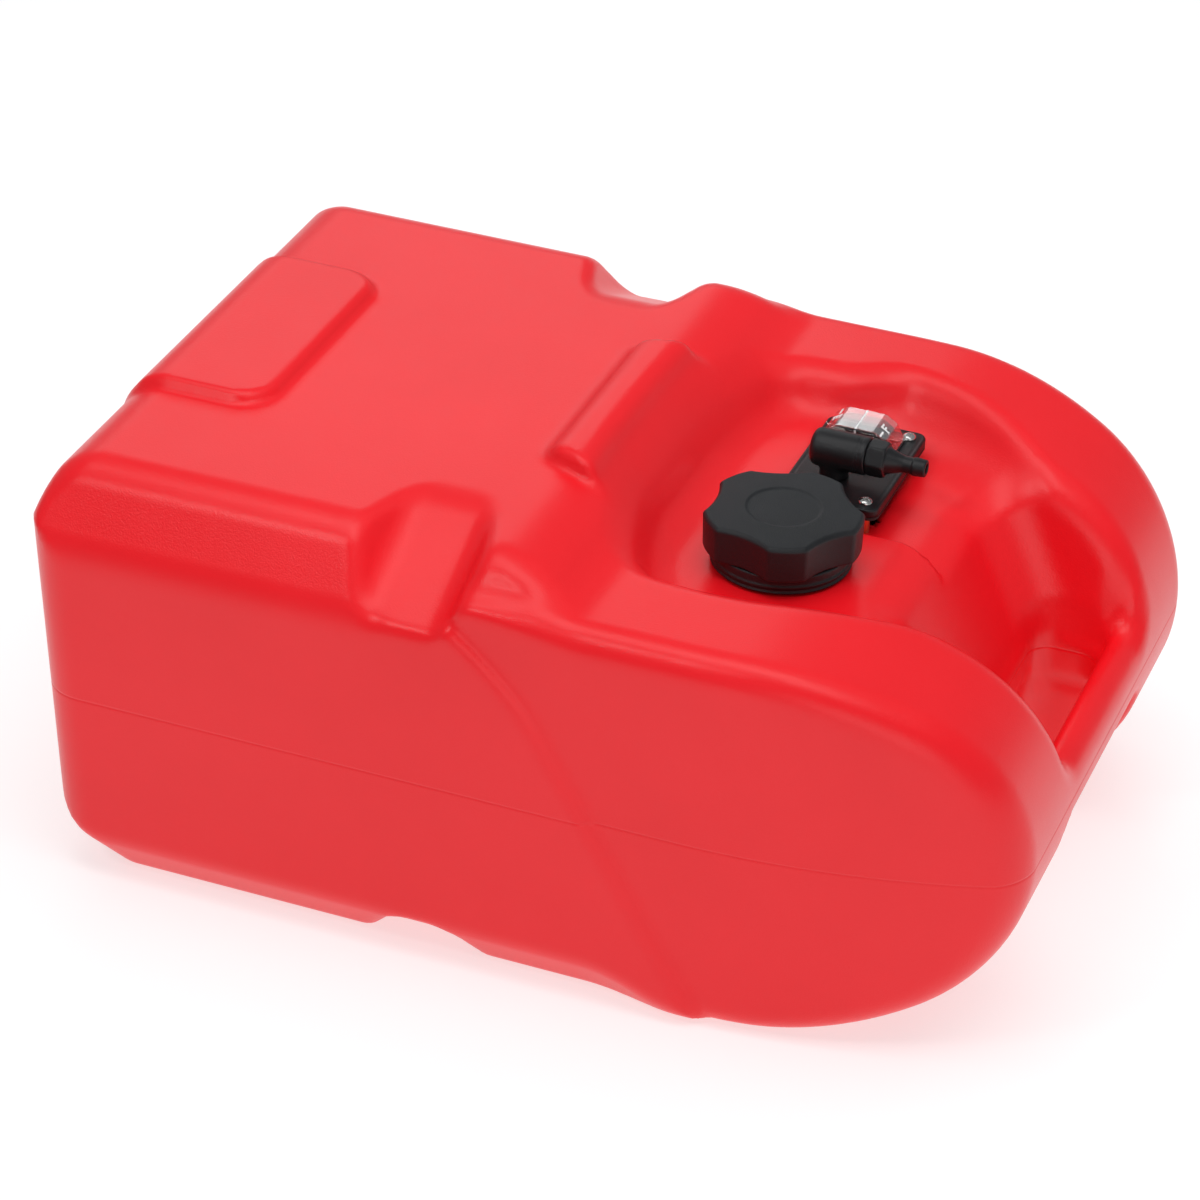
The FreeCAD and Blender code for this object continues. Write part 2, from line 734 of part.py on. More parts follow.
def repeat(owner, original, count):
    """Copies of a feature round the body's upright axis."""
    doc.recompute()
    pattern = owner.newObject("PartDesign::PolarPattern", original.Name + "_pattern")
    pattern.Originals = [original]
    axes = {feature.Role: feature for feature in owner.Origin.OriginFeatures}
    pattern.Axis = (axes["Z_Axis"], [""])
    pattern.Angle = 360
    pattern.setExpression("Occurrences", count)
    owner.Tip = pattern
    return pattern


def rounded(owner, radius, test):
    """A fillet on those edges of the body so far that pass a test."""
    doc.recompute()
    before = owner.Tip
    chosen = edges_where(before.Shape, test)
    fillet = owner.newObject("PartDesign::Fillet", before.Name + "_rounded")
    fillet.Base = (before, ["Edge%d" % number for number in chosen])
    fillet.setExpression("Radius", radius)
    return fillet


def rectangle(centre_x, centre_y, length, width):
    """The corners of a rectangle about a centre."""
    left = "%s - (%s) / 2" % (centre_x, length)
    right = "%s + (%s) / 2" % (centre_x, length)
    near = "%s - (%s) / 2" % (centre_y, width)
    far = "%s + (%s) / 2" % (centre_y, width)
    return [(left, near), (right, near), (right, far), (left, far)]


def cylinder(name, across, aside, height, radius, length, turn=None):
    """A round solid from the centre of its first face, upright or after a turn."""
    solid = place(doc.addObject("Part::Cylinder", name), across, aside, height, turn)
    solid.setExpression("Radius", radius)
    solid.setExpression("Height", length)
    return solid


def washer(name, across, aside, base, inner, outer, thick):
    """A flat ring that lies on its base."""
    piece = body(name, across, aside, base)
    turn_round(piece, "ring", [(inner, "0"), (outer, "0"), (outer, thick), (inner, thick)])
    return piece


def group(name, pieces):
    """Like pieces that share one name, each a solid of its own."""
    together = doc.addObject("Part::Compound", name)
    together.Links = pieces
    return together


def coil(name, across, aside, low, high, radius, turns):
    """A compression spring: round wire along a helix between two heights of its centre line."""
    line = doc.addObject("Part::Helix", name + "_line")
    line.setExpression("Height", "%s - (%s)" % (high, low))
    line.setExpression("Pitch", "(%s - (%s)) / %s" % (high, low, turns))
    line.setExpression("Radius", radius)
    wire = doc.addObject("Sketcher::SketchObject", name + "_section")
    wire.Placement = Placement(Vector(), XZ)
    ring(radius, "0", "dims.spring_wire")(wire)
    spring = place(doc.addObject("Part::Sweep", name), across, aside, low)
    spring.Sections = [wire]
    spring.Spine = (line, ["Edge1"])
    spring.Solid = True
    spring.Frenet = True
    return spring


SCREW_PLACES = [(side, end) for side in (-1, 1) for end in (-1, 1)]
LAID_TO_X = Rotation(ALONG_Y, 90)
LAID_TO_Y = Rotation(ALONG_X, -90)


def screw_offset(side, end):
    """One of the four plate screws, from the middle of the plate."""
    return "%d * dims.screw_pitch_x / 2" % side, "%d * dims.screw_pitch_y / 2" % end


def make_tank():
    """The blow-moulded shell with its neck, gauge opening and the four screw bosses."""
    forms = {}
    for tag, wall in (("outer", "0"), ("inner", "dims.tank_wall")):
        forms_there = [tank_trunk(tag, wall), tank_block(tag, wall)] + raised_places(tag, wall)
        solid = fuse(tag + "_form", forms_there)
        forms[tag] = cut(tag + "_skin", solid, fuse(tag + "_recesses", recess_tools(tag, wall)))
    shell = cut("bare_shell", forms["outer"], forms["inner"])
    under = WELL_FLOOR + " - 2 * dims.tank_wall"
    neck = cylinder("neck", "dims.cap_x", "dims.cap_y", WELL_FLOOR + " - dims.tank_wall",
                    "dims.neck_radius", "dims.neck_rise + dims.tank_wall")
    neck_way = cylinder("neck_way", "dims.cap_x", "dims.cap_y", under,
                        "dims.neck_bore", "dims.neck_rise + 3 * dims.tank_wall")
    opening_plan = outline("gauge_way_plan", "XY", rectangle(
        "dims.plate_x", "dims.plate_y", "dims.opening_length", "dims.opening_width"), under)
    opening = soften("gauge_way", extrude("gauge_way_form", opening_plan, "3 * dims.tank_wall",
                     direction=ALONG_Z), is_upright, "dims.opening_corner")
    bosses = []
    sockets = []
    boss_base = WELL_FLOOR + " - dims.insert_length - dims.boss_floor"
    for number, (side, end) in enumerate(SCREW_PLACES, start=1):
        across, aside = screw_offset(side, end)
        place_x = "dims.plate_x + " + across
        place_y = "dims.plate_y + " + aside
        bosses.append(cylinder("boss_%d" % number, place_x, place_y, boss_base,
                               "dims.boss_radius", "dims.insert_length + dims.boss_floor"))
        sockets.append(cylinder("socket_%d" % number, place_x, place_y,
                                WELL_FLOOR + " - dims.insert_length",
                                "dims.insert_radius", "dims.insert_length + dims.overrun"))
    whole = fuse("shell_with_bosses", [shell, neck] + bosses)
    return cut("tank_body", whole, fuse("shell_ways", [neck_way, opening] + sockets))


def make_cap_gasket():
    """The flat seal between the neck's lip and the closure's plate."""
    return washer("cap_gasket", "dims.cap_x", "dims.cap_y", NECK_TOP, "dims.neck_bore + dims.slip_gap",
                  "dims.neck_radius - dims.slip_gap", "dims.gasket_thick")


def make_cap_inner():
    """The threaded closure: a skirt with two fine bands, a plate and the vent's cage."""
    piece = body("cap_inner", "dims.cap_x", "dims.cap_y", WELL_FLOOR)
    seat = "dims.neck_rise + dims.gasket_thick"
    top = seat + " + dims.closure_plate"
    bore = "dims.neck_radius + dims.thread_play"
    bands = [("dims.skirt_radius + dims.band_proud * %d" % out,
              "dims.skirt_gap + dims.band_proud * %d" % up)
             for up, out in enumerate((1, 1, 0, 0, 1, 1, 0))]
    turn_round(piece, "closure", [
        ("dims.vent_hole", seat),
        ("dims.cage_bore", seat),
        ("dims.cage_bore", seat + " - dims.cage_length"),
        ("dims.cage_radius", seat + " - dims.cage_length"),
        ("dims.cage_radius", seat),
        (bore, seat),
        (bore, "dims.skirt_gap"),
    ] + bands + [
        ("dims.skirt_radius", "dims.skirt_gap + dims.skirt_band"),
        ("dims.skirt_radius - dims.closure_wall", "dims.skirt_gap + dims.skirt_band"),
        ("dims.skirt_radius - dims.closure_wall", top),
        ("dims.vent_hole", top),
    ])
    return piece


def make_ratchet_ring():
    """The click ring that sits on the closure's plate, under the grip."""
    seat = CAP_SEAT + " + dims.closure_plate"
    thick = WELL_FLOOR + " + dims.cap_rise - dims.cap_crown - dims.slip_gap - (%s)" % seat
    piece = body("ratchet_ring", "dims.cap_x", "dims.cap_y", seat)
    turn_round(piece, "ring", [
        ("dims.ratchet_inner", "0"),
        ("dims.ratchet_root", "0"),
        ("dims.ratchet_root", thick),
        ("dims.ratchet_inner", thick),
    ])
    half_step = "180 deg / dims.ratchet_count"
    tooth = pad(piece, "tooth", "XY", [
        ("dims.ratchet_inner", "0"),
        ("dims.ratchet_tip", "0"),
        ("dims.ratchet_root * cos(%s)" % half_step, "dims.ratchet_root * sin(%s)" % half_step),
        ("dims.ratchet_inner * cos(%s)" % half_step, "dims.ratchet_inner * sin(%s)" % half_step),
    ], thick)
    repeat(piece, tooth, "dims.ratchet_count")
    return piece


def make_cap_shell():
    """The five-lobed grip, open below, with a shallow disc in its crown."""
    piece = body("cap_shell", "dims.cap_x", "dims.cap_y", WELL_FLOOR + " + dims.cap_rise")
    bore = "dims.skirt_radius - dims.closure_wall + dims.slip_gap"
    turn_round(piece, "grip", [
        ("0", "-dims.cap_crown"),
        (bore, "-dims.cap_crown"),
        (bore, "-dims.grip_skirt"),
        ("dims.cap_radius - dims.cap_edge / 2", "-dims.grip_skirt"),
        ("dims.cap_radius", "-dims.grip_skirt + dims.cap_edge"),
        ("dims.cap_radius", "-dims.cap_shoulder", "dims.cap_round"),
        ("dims.cap_radius - dims.cap_shoulder", "-dims.crown_fall"),
        ("dims.disc_radius + dims.cap_edge", "0"),
        ("dims.disc_radius", "-dims.disc_depth"),
        ("0", "-dims.disc_depth"),
    ])
    reach = "(dims.cap_radius - dims.scallop_depth + dims.scallop_radius)"
    turn = "(dims.scallop_turn * 1 deg)"
    dent = ring("%s * cos%s" % (reach, turn), "%s * sin%s" % (reach, turn), "dims.scallop_radius")
    scallop = pocket(piece, "scallop", "XY", dent,
                     "dims.grip_skirt + 2 * dims.cap_edge", "-dims.grip_skirt - dims.cap_edge")
    repeat(piece, scallop, "dims.lobe_count")
    return piece


def make_vent():
    """The vent's poppet, the keeper below it and the spring between them, on the cap's axis."""
    valve = body("vent_valve", "dims.cap_x", "dims.cap_y", CAP_SEAT + " - dims.slip_gap")
    reach = "dims.cage_length - dims.retainer_thick / 2"
    turn_round(valve, "poppet", [
        ("0", "0"),
        ("0", "-(%s)" % reach),
        ("dims.valve_stem", "-(%s)" % reach),
        ("dims.valve_stem", "-dims.valve_disc"),
        ("dims.valve_radius", "-dims.valve_disc"),
        ("dims.valve_radius", "-dims.valve_lip"),
        ("dims.vent_hole", "0"),
    ])
    keeper_base = CAP_SEAT + " - dims.cage_length"
    keeper = washer("vent_retainer", "dims.cap_x", "dims.cap_y", keeper_base,
                    "dims.valve_stem + dims.thread_play", "dims.cage_bore", "dims.retainer_thick")
    low = keeper_base + " + dims.retainer_thick + dims.spring_wire + dims.ball_gap"
    high = CAP_SEAT + " - dims.slip_gap - dims.valve_disc - dims.spring_wire - dims.ball_gap"
    spring = coil("vent_spring", "dims.cap_x", "dims.cap_y", low, high, "dims.vent_coil", "dims.vent_turns")
    return [valve, keeper, spring]


def screw_holes(piece, thick):
    """The four screw holes of the plate or of its seal."""
    for number, (side, end) in enumerate(SCREW_PLACES, start=1):
        across, aside = screw_offset(side, end)
        hole = ring(across, aside, "dims.screw_radius + dims.hole_play")
        pocket(piece, "hole_%d" % number, "XY", hole, thick)


def make_plate_gasket():
    """The flat seal under the plate, open over the tank's opening."""
    piece = body("plate_gasket", "dims.plate_x", "dims.plate_y", WELL_FLOOR)
    sheet = rectangle("0", "0", "dims.plate_length", "dims.plate_width")
    pad(piece, "sheet", "XY", sheet, "dims.seal_thick")
    rounded(piece, "dims.plate_corner", is_upright)
    screw_holes(piece, "dims.seal_thick")
    pocket(piece, "middle", "XY", rectangle("0", "0", "dims.opening_length", "dims.opening_width"),
           "dims.seal_thick")
    return piece


def make_gauge_plate():
    """The flat plate that carries the gauge and the outlet, with a slot for the pointer."""
    piece = body("gauge_plate", "dims.plate_x", "dims.plate_y", WELL_FLOOR + " + dims.seal_thick")
    slab = rectangle("0", "0", "dims.plate_length", "dims.plate_width")
    pad(piece, "slab", "XY", slab, "dims.plate_thick")
    rounded(piece, "dims.plate_corner", is_upright)
    screw_holes(piece, "dims.plate_thick")
    pocket(piece, "slot", "XY", rectangle("dims.pivot_x - dims.plate_x", "dims.pivot_y - dims.plate_y",
                                          "dims.pointer_slot", "dims.slot_width"), "dims.plate_thick")
    pocket(piece, "outlet_hole", "XY", ring("dims.outlet_x - dims.plate_x", "dims.outlet_y - dims.plate_y",
                                            "dims.spigot_radius + dims.hole_play"), "dims.plate_thick")
    return piece


def make_fasteners():
    """Four pan-head screws and the four threaded inserts that they turn into."""
    screws = []
    inserts = []
    for number, (side, end) in enumerate(SCREW_PLACES, start=1):
        across, aside = screw_offset(side, end)
        place_x = "dims.plate_x + " + across
        place_y = "dims.plate_y + " + aside
        screw = body("screw_%d" % number, place_x, place_y, PLATE_TOP)
        turn_round(screw, "screw", [
            ("0", "-dims.screw_length"),
            ("dims.screw_radius - dims.hole_play", "-dims.screw_length"),
            ("dims.screw_radius", "-dims.screw_length + dims.hole_play"),
            ("dims.screw_radius", "0"),
            ("dims.head_radius", "0"),
            ("dims.head_radius", "dims.head_side", "dims.head_radius"),
            ("dims.head_flat", "dims.head_rise"),
            ("0", "dims.head_rise"),
        ])
        screws.append(screw)
        inserts.append(washer("insert_%d" % number, place_x, place_y, WELL_FLOOR + " - dims.insert_length",
                              "dims.screw_radius + dims.pin_play", "dims.insert_radius",
                              "dims.insert_length - dims.hole_play"))
    return [group("plate_screws", screws), group("screw_inserts", inserts)]


def make_window():
    """The clear window over the pointer and the thin seal that it stands on."""
    seal = body("lens_seal", "dims.pivot_x", "dims.pivot_y", PLATE_TOP)
    pad(seal, "sheet", "XY", rectangle("0", "0", "2 * dims.lens_half", "dims.lens_width"), "dims.lens_seal")
    pocket(seal, "middle", "XY", rectangle("0", "0", "2 * (dims.lens_half - dims.lens_wall)",
                                           "dims.lens_width - 2 * dims.lens_wall"), "dims.lens_seal")
    lens = body("gauge_lens", "dims.pivot_x", "dims.pivot_y", PLATE_TOP + " + dims.lens_seal")
    pad(lens, "outside", "XZ", window_profile("0"), "dims.lens_width", middle=True)
    pocket(lens, "inside", "XZ", window_profile("dims.lens_wall"), "dims.lens_width - 2 * dims.lens_wall",
           middle=True)
    return [seal, lens]


def window_profile(wall):
    """The window from the side: a flat top with a gentle and a steep slope at each end."""
    return half_section([
        ("dims.lens_half - %s" % wall, "0"),
        ("dims.lens_slope_half - %s" % wall, "dims.lens_slope_rise - %s / 2" % wall),
        ("dims.lens_flat_half - %s / 2" % wall, "dims.lens_rise - %s" % wall),
    ])


def make_bracket():
    """The hanger under the plate: a slotted base and two ears for the pivot pin."""
    piece = body("gauge_bracket", "dims.pivot_x", "dims.pivot_y", PIVOT_HEIGHT)
    under = "(dims.pivot_drop - dims.plate_thick)"
    inside = "dims.hub_width / 2 + dims.ear_gap"
    width = "dims.hub_width + 2 * dims.ear_gap + 2 * dims.ear_thick"
    pad(piece, "base", "XY", rectangle("0", "0", "dims.bracket_length", width), "dims.bracket_base",
        under + " - dims.bracket_base")
    ear = half_section([
        ("dims.ear_tip", "-dims.ear_reach"),
        ("dims.ear_reach", "-dims.ear_tip"),
        ("dims.ear_reach", "dims.ear_tip"),
        ("dims.ear_width / 2", under + " - dims.bracket_base / 2"),
    ])
    pad(piece, "first_ear", "XZ", ear, "dims.ear_thick", inside)
    pad(piece, "second_ear", "XZ", ear, "dims.ear_thick", "-(%s) - dims.ear_thick" % inside)
    pocket(piece, "slot", "XY", rectangle("0", "0", "dims.bracket_slot", "dims.hub_width"),
           "2 * dims.bracket_base", under + " - 1.5 * dims.bracket_base")
    pocket(piece, "pin_hole", "XZ", ring("0", "0", "dims.pin_radius"), width, middle=True)
    pin = cylinder("pivot_pin", "dims.pivot_x", "dims.pivot_y - (%s) / 2" % width, PIVOT_HEIGHT,
                   "dims.pin_radius", width, LAID_TO_Y)
    return [piece, pin]


def on_arm(piece):
    """Hangs a piece that was drawn with the float's arm along +X from the pivot, tank empty."""
    place(piece, "dims.pivot_x", "dims.pivot_y", PIVOT_HEIGHT, Rotation(ALONG_Y, 1))
    piece.setExpression(".Placement.Rotation.Angle", "dims.arm_drop * 1 deg")
    return piece


def toward(reach, aside, angle):
    """A point in the arm's upright plane, by its reach and offset along a turned line."""
    across = "(%s) * cos(%s) + (%s) * sin(%s)" % (reach, angle, aside, angle)
    up = "(%s) * cos(%s) - (%s) * sin(%s)" % (aside, angle, reach, angle)
    return across, up


def make_lever():
    """The hub on the pivot pin, with the arm's socket on one side and the pointer on the other."""
    piece = on_arm(doc.addObject("PartDesign::Body", "float_lever"))
    pad(piece, "hub", "XZ", ring("0", "0", "dims.hub_radius"), "dims.hub_width", middle=True)
    pad(piece, "socket", "YZ", ring("0", "0", "dims.socket_radius"), "dims.socket_length")
    rise = "(270 - dims.pointer_lean - dims.arm_drop) * 1 deg"
    pad(piece, "pointer", "XZ", [
        toward("0", "-dims.pointer_root / 2", rise),
        toward("dims.pointer_reach", "-dims.pointer_tip / 2", rise),
        toward("dims.pointer_reach", "dims.pointer_tip / 2", rise),
        toward("0", "dims.pointer_root / 2", rise),
    ], "dims.pointer_width", middle=True)
    pocket(piece, "pin_bore", "XZ", ring("0", "0", "dims.pin_radius + dims.pin_play"),
           "2 * dims.hub_width", middle=True)
    pocket(piece, "arm_bore", "YZ", ring("0", "0", "dims.arm_wire + dims.pin_play"),
           "dims.socket_length", "dims.arm_start - dims.pin_play")
    return piece


def make_float():
    """The wire arm with its bent end, the float on it and a clip at each end of the float."""
    reach = "dims.arm_length + dims.arm_bend"
    straight = cylinder("arm_run", "dims.arm_start", "0", "0", "dims.arm_wire",
                        "dims.arm_length - dims.arm_start", LAID_TO_X)
    bend = place(doc.addObject("Part::Torus", "arm_corner"), "dims.arm_length", "-dims.arm_bend", "0")
    bend.setExpression("Radius1", "dims.arm_bend")
    bend.setExpression("Radius2", "dims.arm_wire")
    bend.Angle3 = 90
    tail_length = "dims.float_length + 2 * dims.clip_thick + 4 * dims.pin_play + dims.arm_stub"
    tail = cylinder("arm_tail", reach, "-dims.arm_bend - (%s)" % tail_length, "0",
                    "dims.arm_wire", tail_length, LAID_TO_Y)
    arm = on_arm(fuse("float_arm", [straight, bend, tail]))
    first_clip = "-dims.arm_bend - dims.clip_thick"
    float_start = first_clip + " - dims.pin_play - dims.float_length"
    last_clip = float_start + " - dims.pin_play - dims.clip_thick"
    block = cylinder("float_block", reach, float_start, "0", "dims.float_radius", "dims.float_length",
                     LAID_TO_Y)
    eased = soften("float_eased", block, lambda edge: edge.Closed, "dims.float_edge")
    way = cylinder("float_way", reach, float_start, "0", "dims.arm_wire + dims.float_play",
                   "dims.float_length", LAID_TO_Y)
    bobber = on_arm(cut("float", eased, way))
    clips = []
    for name, start in (("first_clip", first_clip), ("last_clip", last_clip)):
        disc = cylinder(name + "_disc", reach, start, "0", "dims.clip_radius", "dims.clip_thick", LAID_TO_Y)
        hole = cylinder(name + "_hole", reach, start, "0", "dims.arm_wire + dims.pin_play",
                        "dims.clip_thick", LAID_TO_Y)
        clips.append(on_arm(cut(name, disc, hole)))
    return [arm, bobber, group("float_clips", clips)]


def make_elbow():
    """The outlet: a barrel laid along X on an upright leg, whose spigot holds the check valve."""
    piece = body("outlet_elbow", "dims.outlet_x", "dims.outlet_y", OUTLET_HEIGHT)
    back = "dims.outlet_back - dims.outlet_x"
    mouth = "dims.outlet_mouth - dims.outlet_x"
    shoulder = "dims.barb_start - dims.outlet_x"
    foot = "(-dims.outlet_rise)"
    ceiling = foot + " + dims.check_ceiling"
    low = foot + " - dims.spigot_depth"
    turn_round(piece, "barrel", [
        (back, "0"),
        (back, "dims.outlet_radius - dims.outlet_round", "-dims.outlet_round"),
        (back + " + dims.outlet_round", "dims.outlet_radius"),
        (mouth, "dims.outlet_radius"),
        (mouth, "0"),
    ], "H_Axis")
    pad(piece, "leg", "XY", ring("0", "0", "dims.leg_radius"), "-" + foot, foot)
    pad(piece, "spigot", "XY", ring("0", "0", "dims.spigot_radius"),
        "dims.spigot_depth + dims.outlet_round", low)
    turn_round(piece, "barrel_way", [
        ("-dims.outlet_bore", "0"),
        ("-dims.outlet_bore", "dims.outlet_bore"),
        (shoulder, "dims.outlet_bore"),
        (shoulder, "dims.socket_bore"),
        (mouth + " + dims.overrun", "dims.socket_bore"),
        (mouth + " + dims.overrun", "0"),
    ], "H_Axis", "PartDesign::Groove")
    turn_round(piece, "leg_way", [
        ("0", low + " - dims.overrun"),
        ("dims.check_bore", low + " - dims.overrun"),
        ("dims.check_bore", ceiling),
        ("dims.leg_bore", ceiling),
        ("dims.leg_bore", "0"),
        ("0", "0"),
    ], "V_Axis", "PartDesign::Groove")
    return piece


def make_barb():
    """The hose barb that plugs into the barrel, with its nut-shaped flange, and the seal on it."""
    piece = body("hose_barb", "dims.barb_start", "dims.outlet_y", OUTLET_HEIGHT)
    plug = "dims.socket_bore - dims.barb_play"
    seat = "dims.socket_bore - 2 * (dims.seal_section + dims.barb_play)"
    flange = "dims.outlet_mouth - dims.barb_start"
    cone = flange + " + dims.hex_length"
    shank = cone + " + dims.cone_length"
    barb = shank + " + dims.shank_length"
    tip = barb + " + dims.barb_length"
    turn_round(piece, "stem", [
        ("0", "dims.barb_bore"),
        ("0", plug),
        ("dims.seal_seat", plug),
        ("dims.seal_seat", seat),
        ("dims.seal_seat + dims.seal_groove", seat),
        ("dims.seal_seat + dims.seal_groove", plug),
        (flange, plug),
        (cone, "dims.cone_radius"),
        (shank, "dims.shank_radius"),
        (barb, "dims.shank_radius"),
        (barb, "dims.barb_radius"),
        (tip + " - dims.barb_lead", "dims.barb_radius"),
        (tip, "dims.barb_radius - dims.barb_lead / 2"),
        (tip, "dims.barb_bore"),
    ], "H_Axis")
    corner = "dims.hex_across / 2 / cos(30 deg)"
    hexagon = [("%s * cos(%d deg)" % (corner, angle), "%s * sin(%d deg)" % (corner, angle))
               for angle in range(0, 360, 60)]
    pad(piece, "nut", "YZ", hexagon, "dims.hex_length", flange)
    pocket(piece, "way", "YZ", ring("0", "0", "dims.barb_bore"), tip)
    across = "dims.barb_start + dims.seal_seat + dims.seal_groove / 2"
    seal = place(doc.addObject("Part::Torus", "barb_seal"), across, "dims.outlet_y", OUTLET_HEIGHT,
                 LAID_TO_X)
    seal.setExpression("Radius1", "dims.socket_bore - dims.seal_section - dims.barb_play")
    seal.setExpression("Radius2", "dims.seal_section")
    return [piece, seal]


def make_pickup():
    """The tube down to the tank's floor, with its slotted filter, and the check ball on its top."""
    seat = PLATE_TOP + " - dims.spigot_depth + dims.check_seat"
    outside = "dims.check_bore - dims.pin_play"
    inside = "(%s - dims.tube_wall)" % outside
    tube = washer("pickup_tube", "dims.outlet_x", "dims.outlet_y", "dims.tube_bottom", inside, outside,
                  "%s - dims.tube_bottom" % seat)
    basket = body("pickup_filter", "dims.outlet_x", "dims.outlet_y", "dims.filter_floor")
    top = "dims.filter_top - dims.filter_floor"
    turn_round(basket, "basket", [
        ("0", "0"),
        ("dims.filter_radius", "0"),
        ("dims.filter_radius", top),
        (outside + " + dims.pin_play", top),
        (outside + " + dims.pin_play", top + " - dims.filter_wall"),
        ("dims.filter_radius - dims.filter_wall", top + " - dims.filter_wall"),
        ("dims.filter_radius - dims.filter_wall", "dims.filter_wall"),
        ("0", "dims.filter_wall"),
    ])
    slot = pocket(basket, "slot", "XY", rectangle("dims.filter_radius", "0", "3 * dims.filter_wall",
                                                  "dims.filter_slot"),
                  top + " - 4 * dims.filter_wall", "2 * dims.filter_wall")
    repeat(basket, slot, "dims.filter_slots")
    centre = seat + " + sqrt(dims.ball_radius^2 - %s^2) + dims.ball_gap" % inside
    ball = place(doc.addObject("Part::Sphere", "check_ball"), "dims.outlet_x", "dims.outlet_y", centre)
    ball.setExpression("Radius", "dims.ball_radius")
    touch = "dims.ball_radius + dims.spring_wire + dims.ball_gap"
    low = centre + " + sqrt((%s)^2 - dims.check_coil^2)" % touch
    high = PLATE_TOP + " + dims.check_ceiling - dims.spring_wire - dims.ball_gap"
    spring = coil("check_spring", "dims.outlet_x", "dims.outlet_y", low, high,
                  "dims.check_coil", "dims.check_turns")
    return [tube, basket, ball, spring]


pieces = [make_tank(), make_cap_gasket(), make_cap_inner(), make_ratchet_ring(), make_cap_shell()]
pieces += make_vent()
pieces += [make_plate_gasket(), make_gauge_plate()]
pieces += make_fasteners()
pieces += make_window()
pieces += make_bracket()
pieces += [make_lever()]
pieces += make_float()
pieces += [make_elbow()]
pieces += make_barb()
pieces += make_pickup()

doc.recompute()

faults = [item.Name for item in doc.Objects if "Invalid" in item.State or "Error" in item.State]
for piece in pieces:
    piece.Label = piece.Name
    if piece.Shape.isNull() or not piece.Shape.isValid() or not piece.Shape.Solids:
        faults.append(piece.Name)
if faults:
    raise RuntimeError("These objects failed: " + ", ".join(faults))

os.makedirs("parts", exist_ok=True)
for piece in pieces:
    piece.Shape.exportStep("parts/%s.step" % piece.Label)
    box = piece.Shape.BoundBox
    print("%-16s solids %d  volume %.0f  z %.1f to %.1f" % (
        piece.Label, len(piece.Shape.Solids), piece.Shape.Volume, box.ZMin, box.ZMax))
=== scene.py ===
import json
import math
import bpy
import numpy as np
from mathutils import Matrix, Vector


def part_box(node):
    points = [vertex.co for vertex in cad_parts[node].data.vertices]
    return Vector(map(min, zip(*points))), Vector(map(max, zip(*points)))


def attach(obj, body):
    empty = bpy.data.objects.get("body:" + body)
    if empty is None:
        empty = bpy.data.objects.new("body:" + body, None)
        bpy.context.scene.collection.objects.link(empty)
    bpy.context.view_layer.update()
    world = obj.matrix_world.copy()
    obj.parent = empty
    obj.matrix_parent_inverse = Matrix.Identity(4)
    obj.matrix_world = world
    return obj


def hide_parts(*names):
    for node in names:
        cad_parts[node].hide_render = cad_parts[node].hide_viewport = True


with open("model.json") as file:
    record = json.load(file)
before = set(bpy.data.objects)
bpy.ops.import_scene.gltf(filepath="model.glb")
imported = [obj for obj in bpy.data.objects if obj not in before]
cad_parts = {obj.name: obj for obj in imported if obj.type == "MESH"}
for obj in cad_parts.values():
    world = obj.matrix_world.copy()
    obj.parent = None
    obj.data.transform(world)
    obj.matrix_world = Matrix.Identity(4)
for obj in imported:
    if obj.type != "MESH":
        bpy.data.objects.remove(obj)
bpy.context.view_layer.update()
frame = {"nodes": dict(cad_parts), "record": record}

# A portable fuel tank of moulded red plastic. Forms are worked out in millimetres, in the
# frame of the solid model: the base is on z 0, +X points to the carrying bar.

MM = 0.001

TANK_LOW, TANK_HIGH = [[value / MM for value in corner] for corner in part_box("tank_body")]
FRONT = TANK_HIGH[0]
HALF = TANK_HIGH[1]
PANEL_STEP = 4.5
WALL = 3.5
LINING_PITCH = 8.0
TRUNK_HALF = HALF - PANEL_STEP
BLOCK_TOP = 231.0
SIDE_TOP = 194.0
RAIL_TOP = 213.0
PARTING = 107.0
FLOOR = 190.0
CAP_X, CAP_Y = 90.0, -40.5
CAP_LOW, CAP_TOP, CAP_RADIUS = 200.8, 221.0, 40.5
NECK_RADIUS, NECK_BORE, NECK_TOP = 30.0, 25.0, 208.0
PLATE_X, PLATE_Y, PLATE_TOP = 95.0, 56.0, 196.0
LENS_X, LENS_Y, LENS_BASE = 92.0, 76.5, 197.0
OUTLET_X, OUTLET_Y, OUTLET_Z = 90.0, 40.0, 211.0
SCREWS = [(PLATE_X + 18.8 * side, PLATE_Y + 36 * end) for side in (-1, 1) for end in (-1, 1)]
BACK_FOOT = -250.0
BACK_TOP = -263.0


def beyond(across, up, start, end):
    """How far a place is outside a line of an outline that is listed anticlockwise."""
    run, rise = end[0] - start[0], end[1] - start[1]
    length = math.hypot(run, rise)
    return ((across - start[0]) * rise - (up - start[1]) * run) / length


def both(first, second, radius):
    """The shared part of two forms, with a rounded edge between them."""
    outside = np.hypot(np.maximum(first + radius, 0), np.maximum(second + radius, 0))
    return np.minimum(-radius, np.maximum(first, second)) + outside


def either(first, second, radius):
    """Two forms joined, with a rounded corner between them."""
    inside = np.hypot(np.maximum(radius - first, 0), np.maximum(radius - second, 0))
    return np.maximum(radius, np.minimum(first, second)) - inside


def carve(form, tool, radius):
    return both(form, -tool, radius)


def step(value):
    """A smooth rise from 0 to 1 while the value goes from 0 to 1."""
    share = np.clip(value, 0, 1)
    return share * share * (3 - 2 * share)


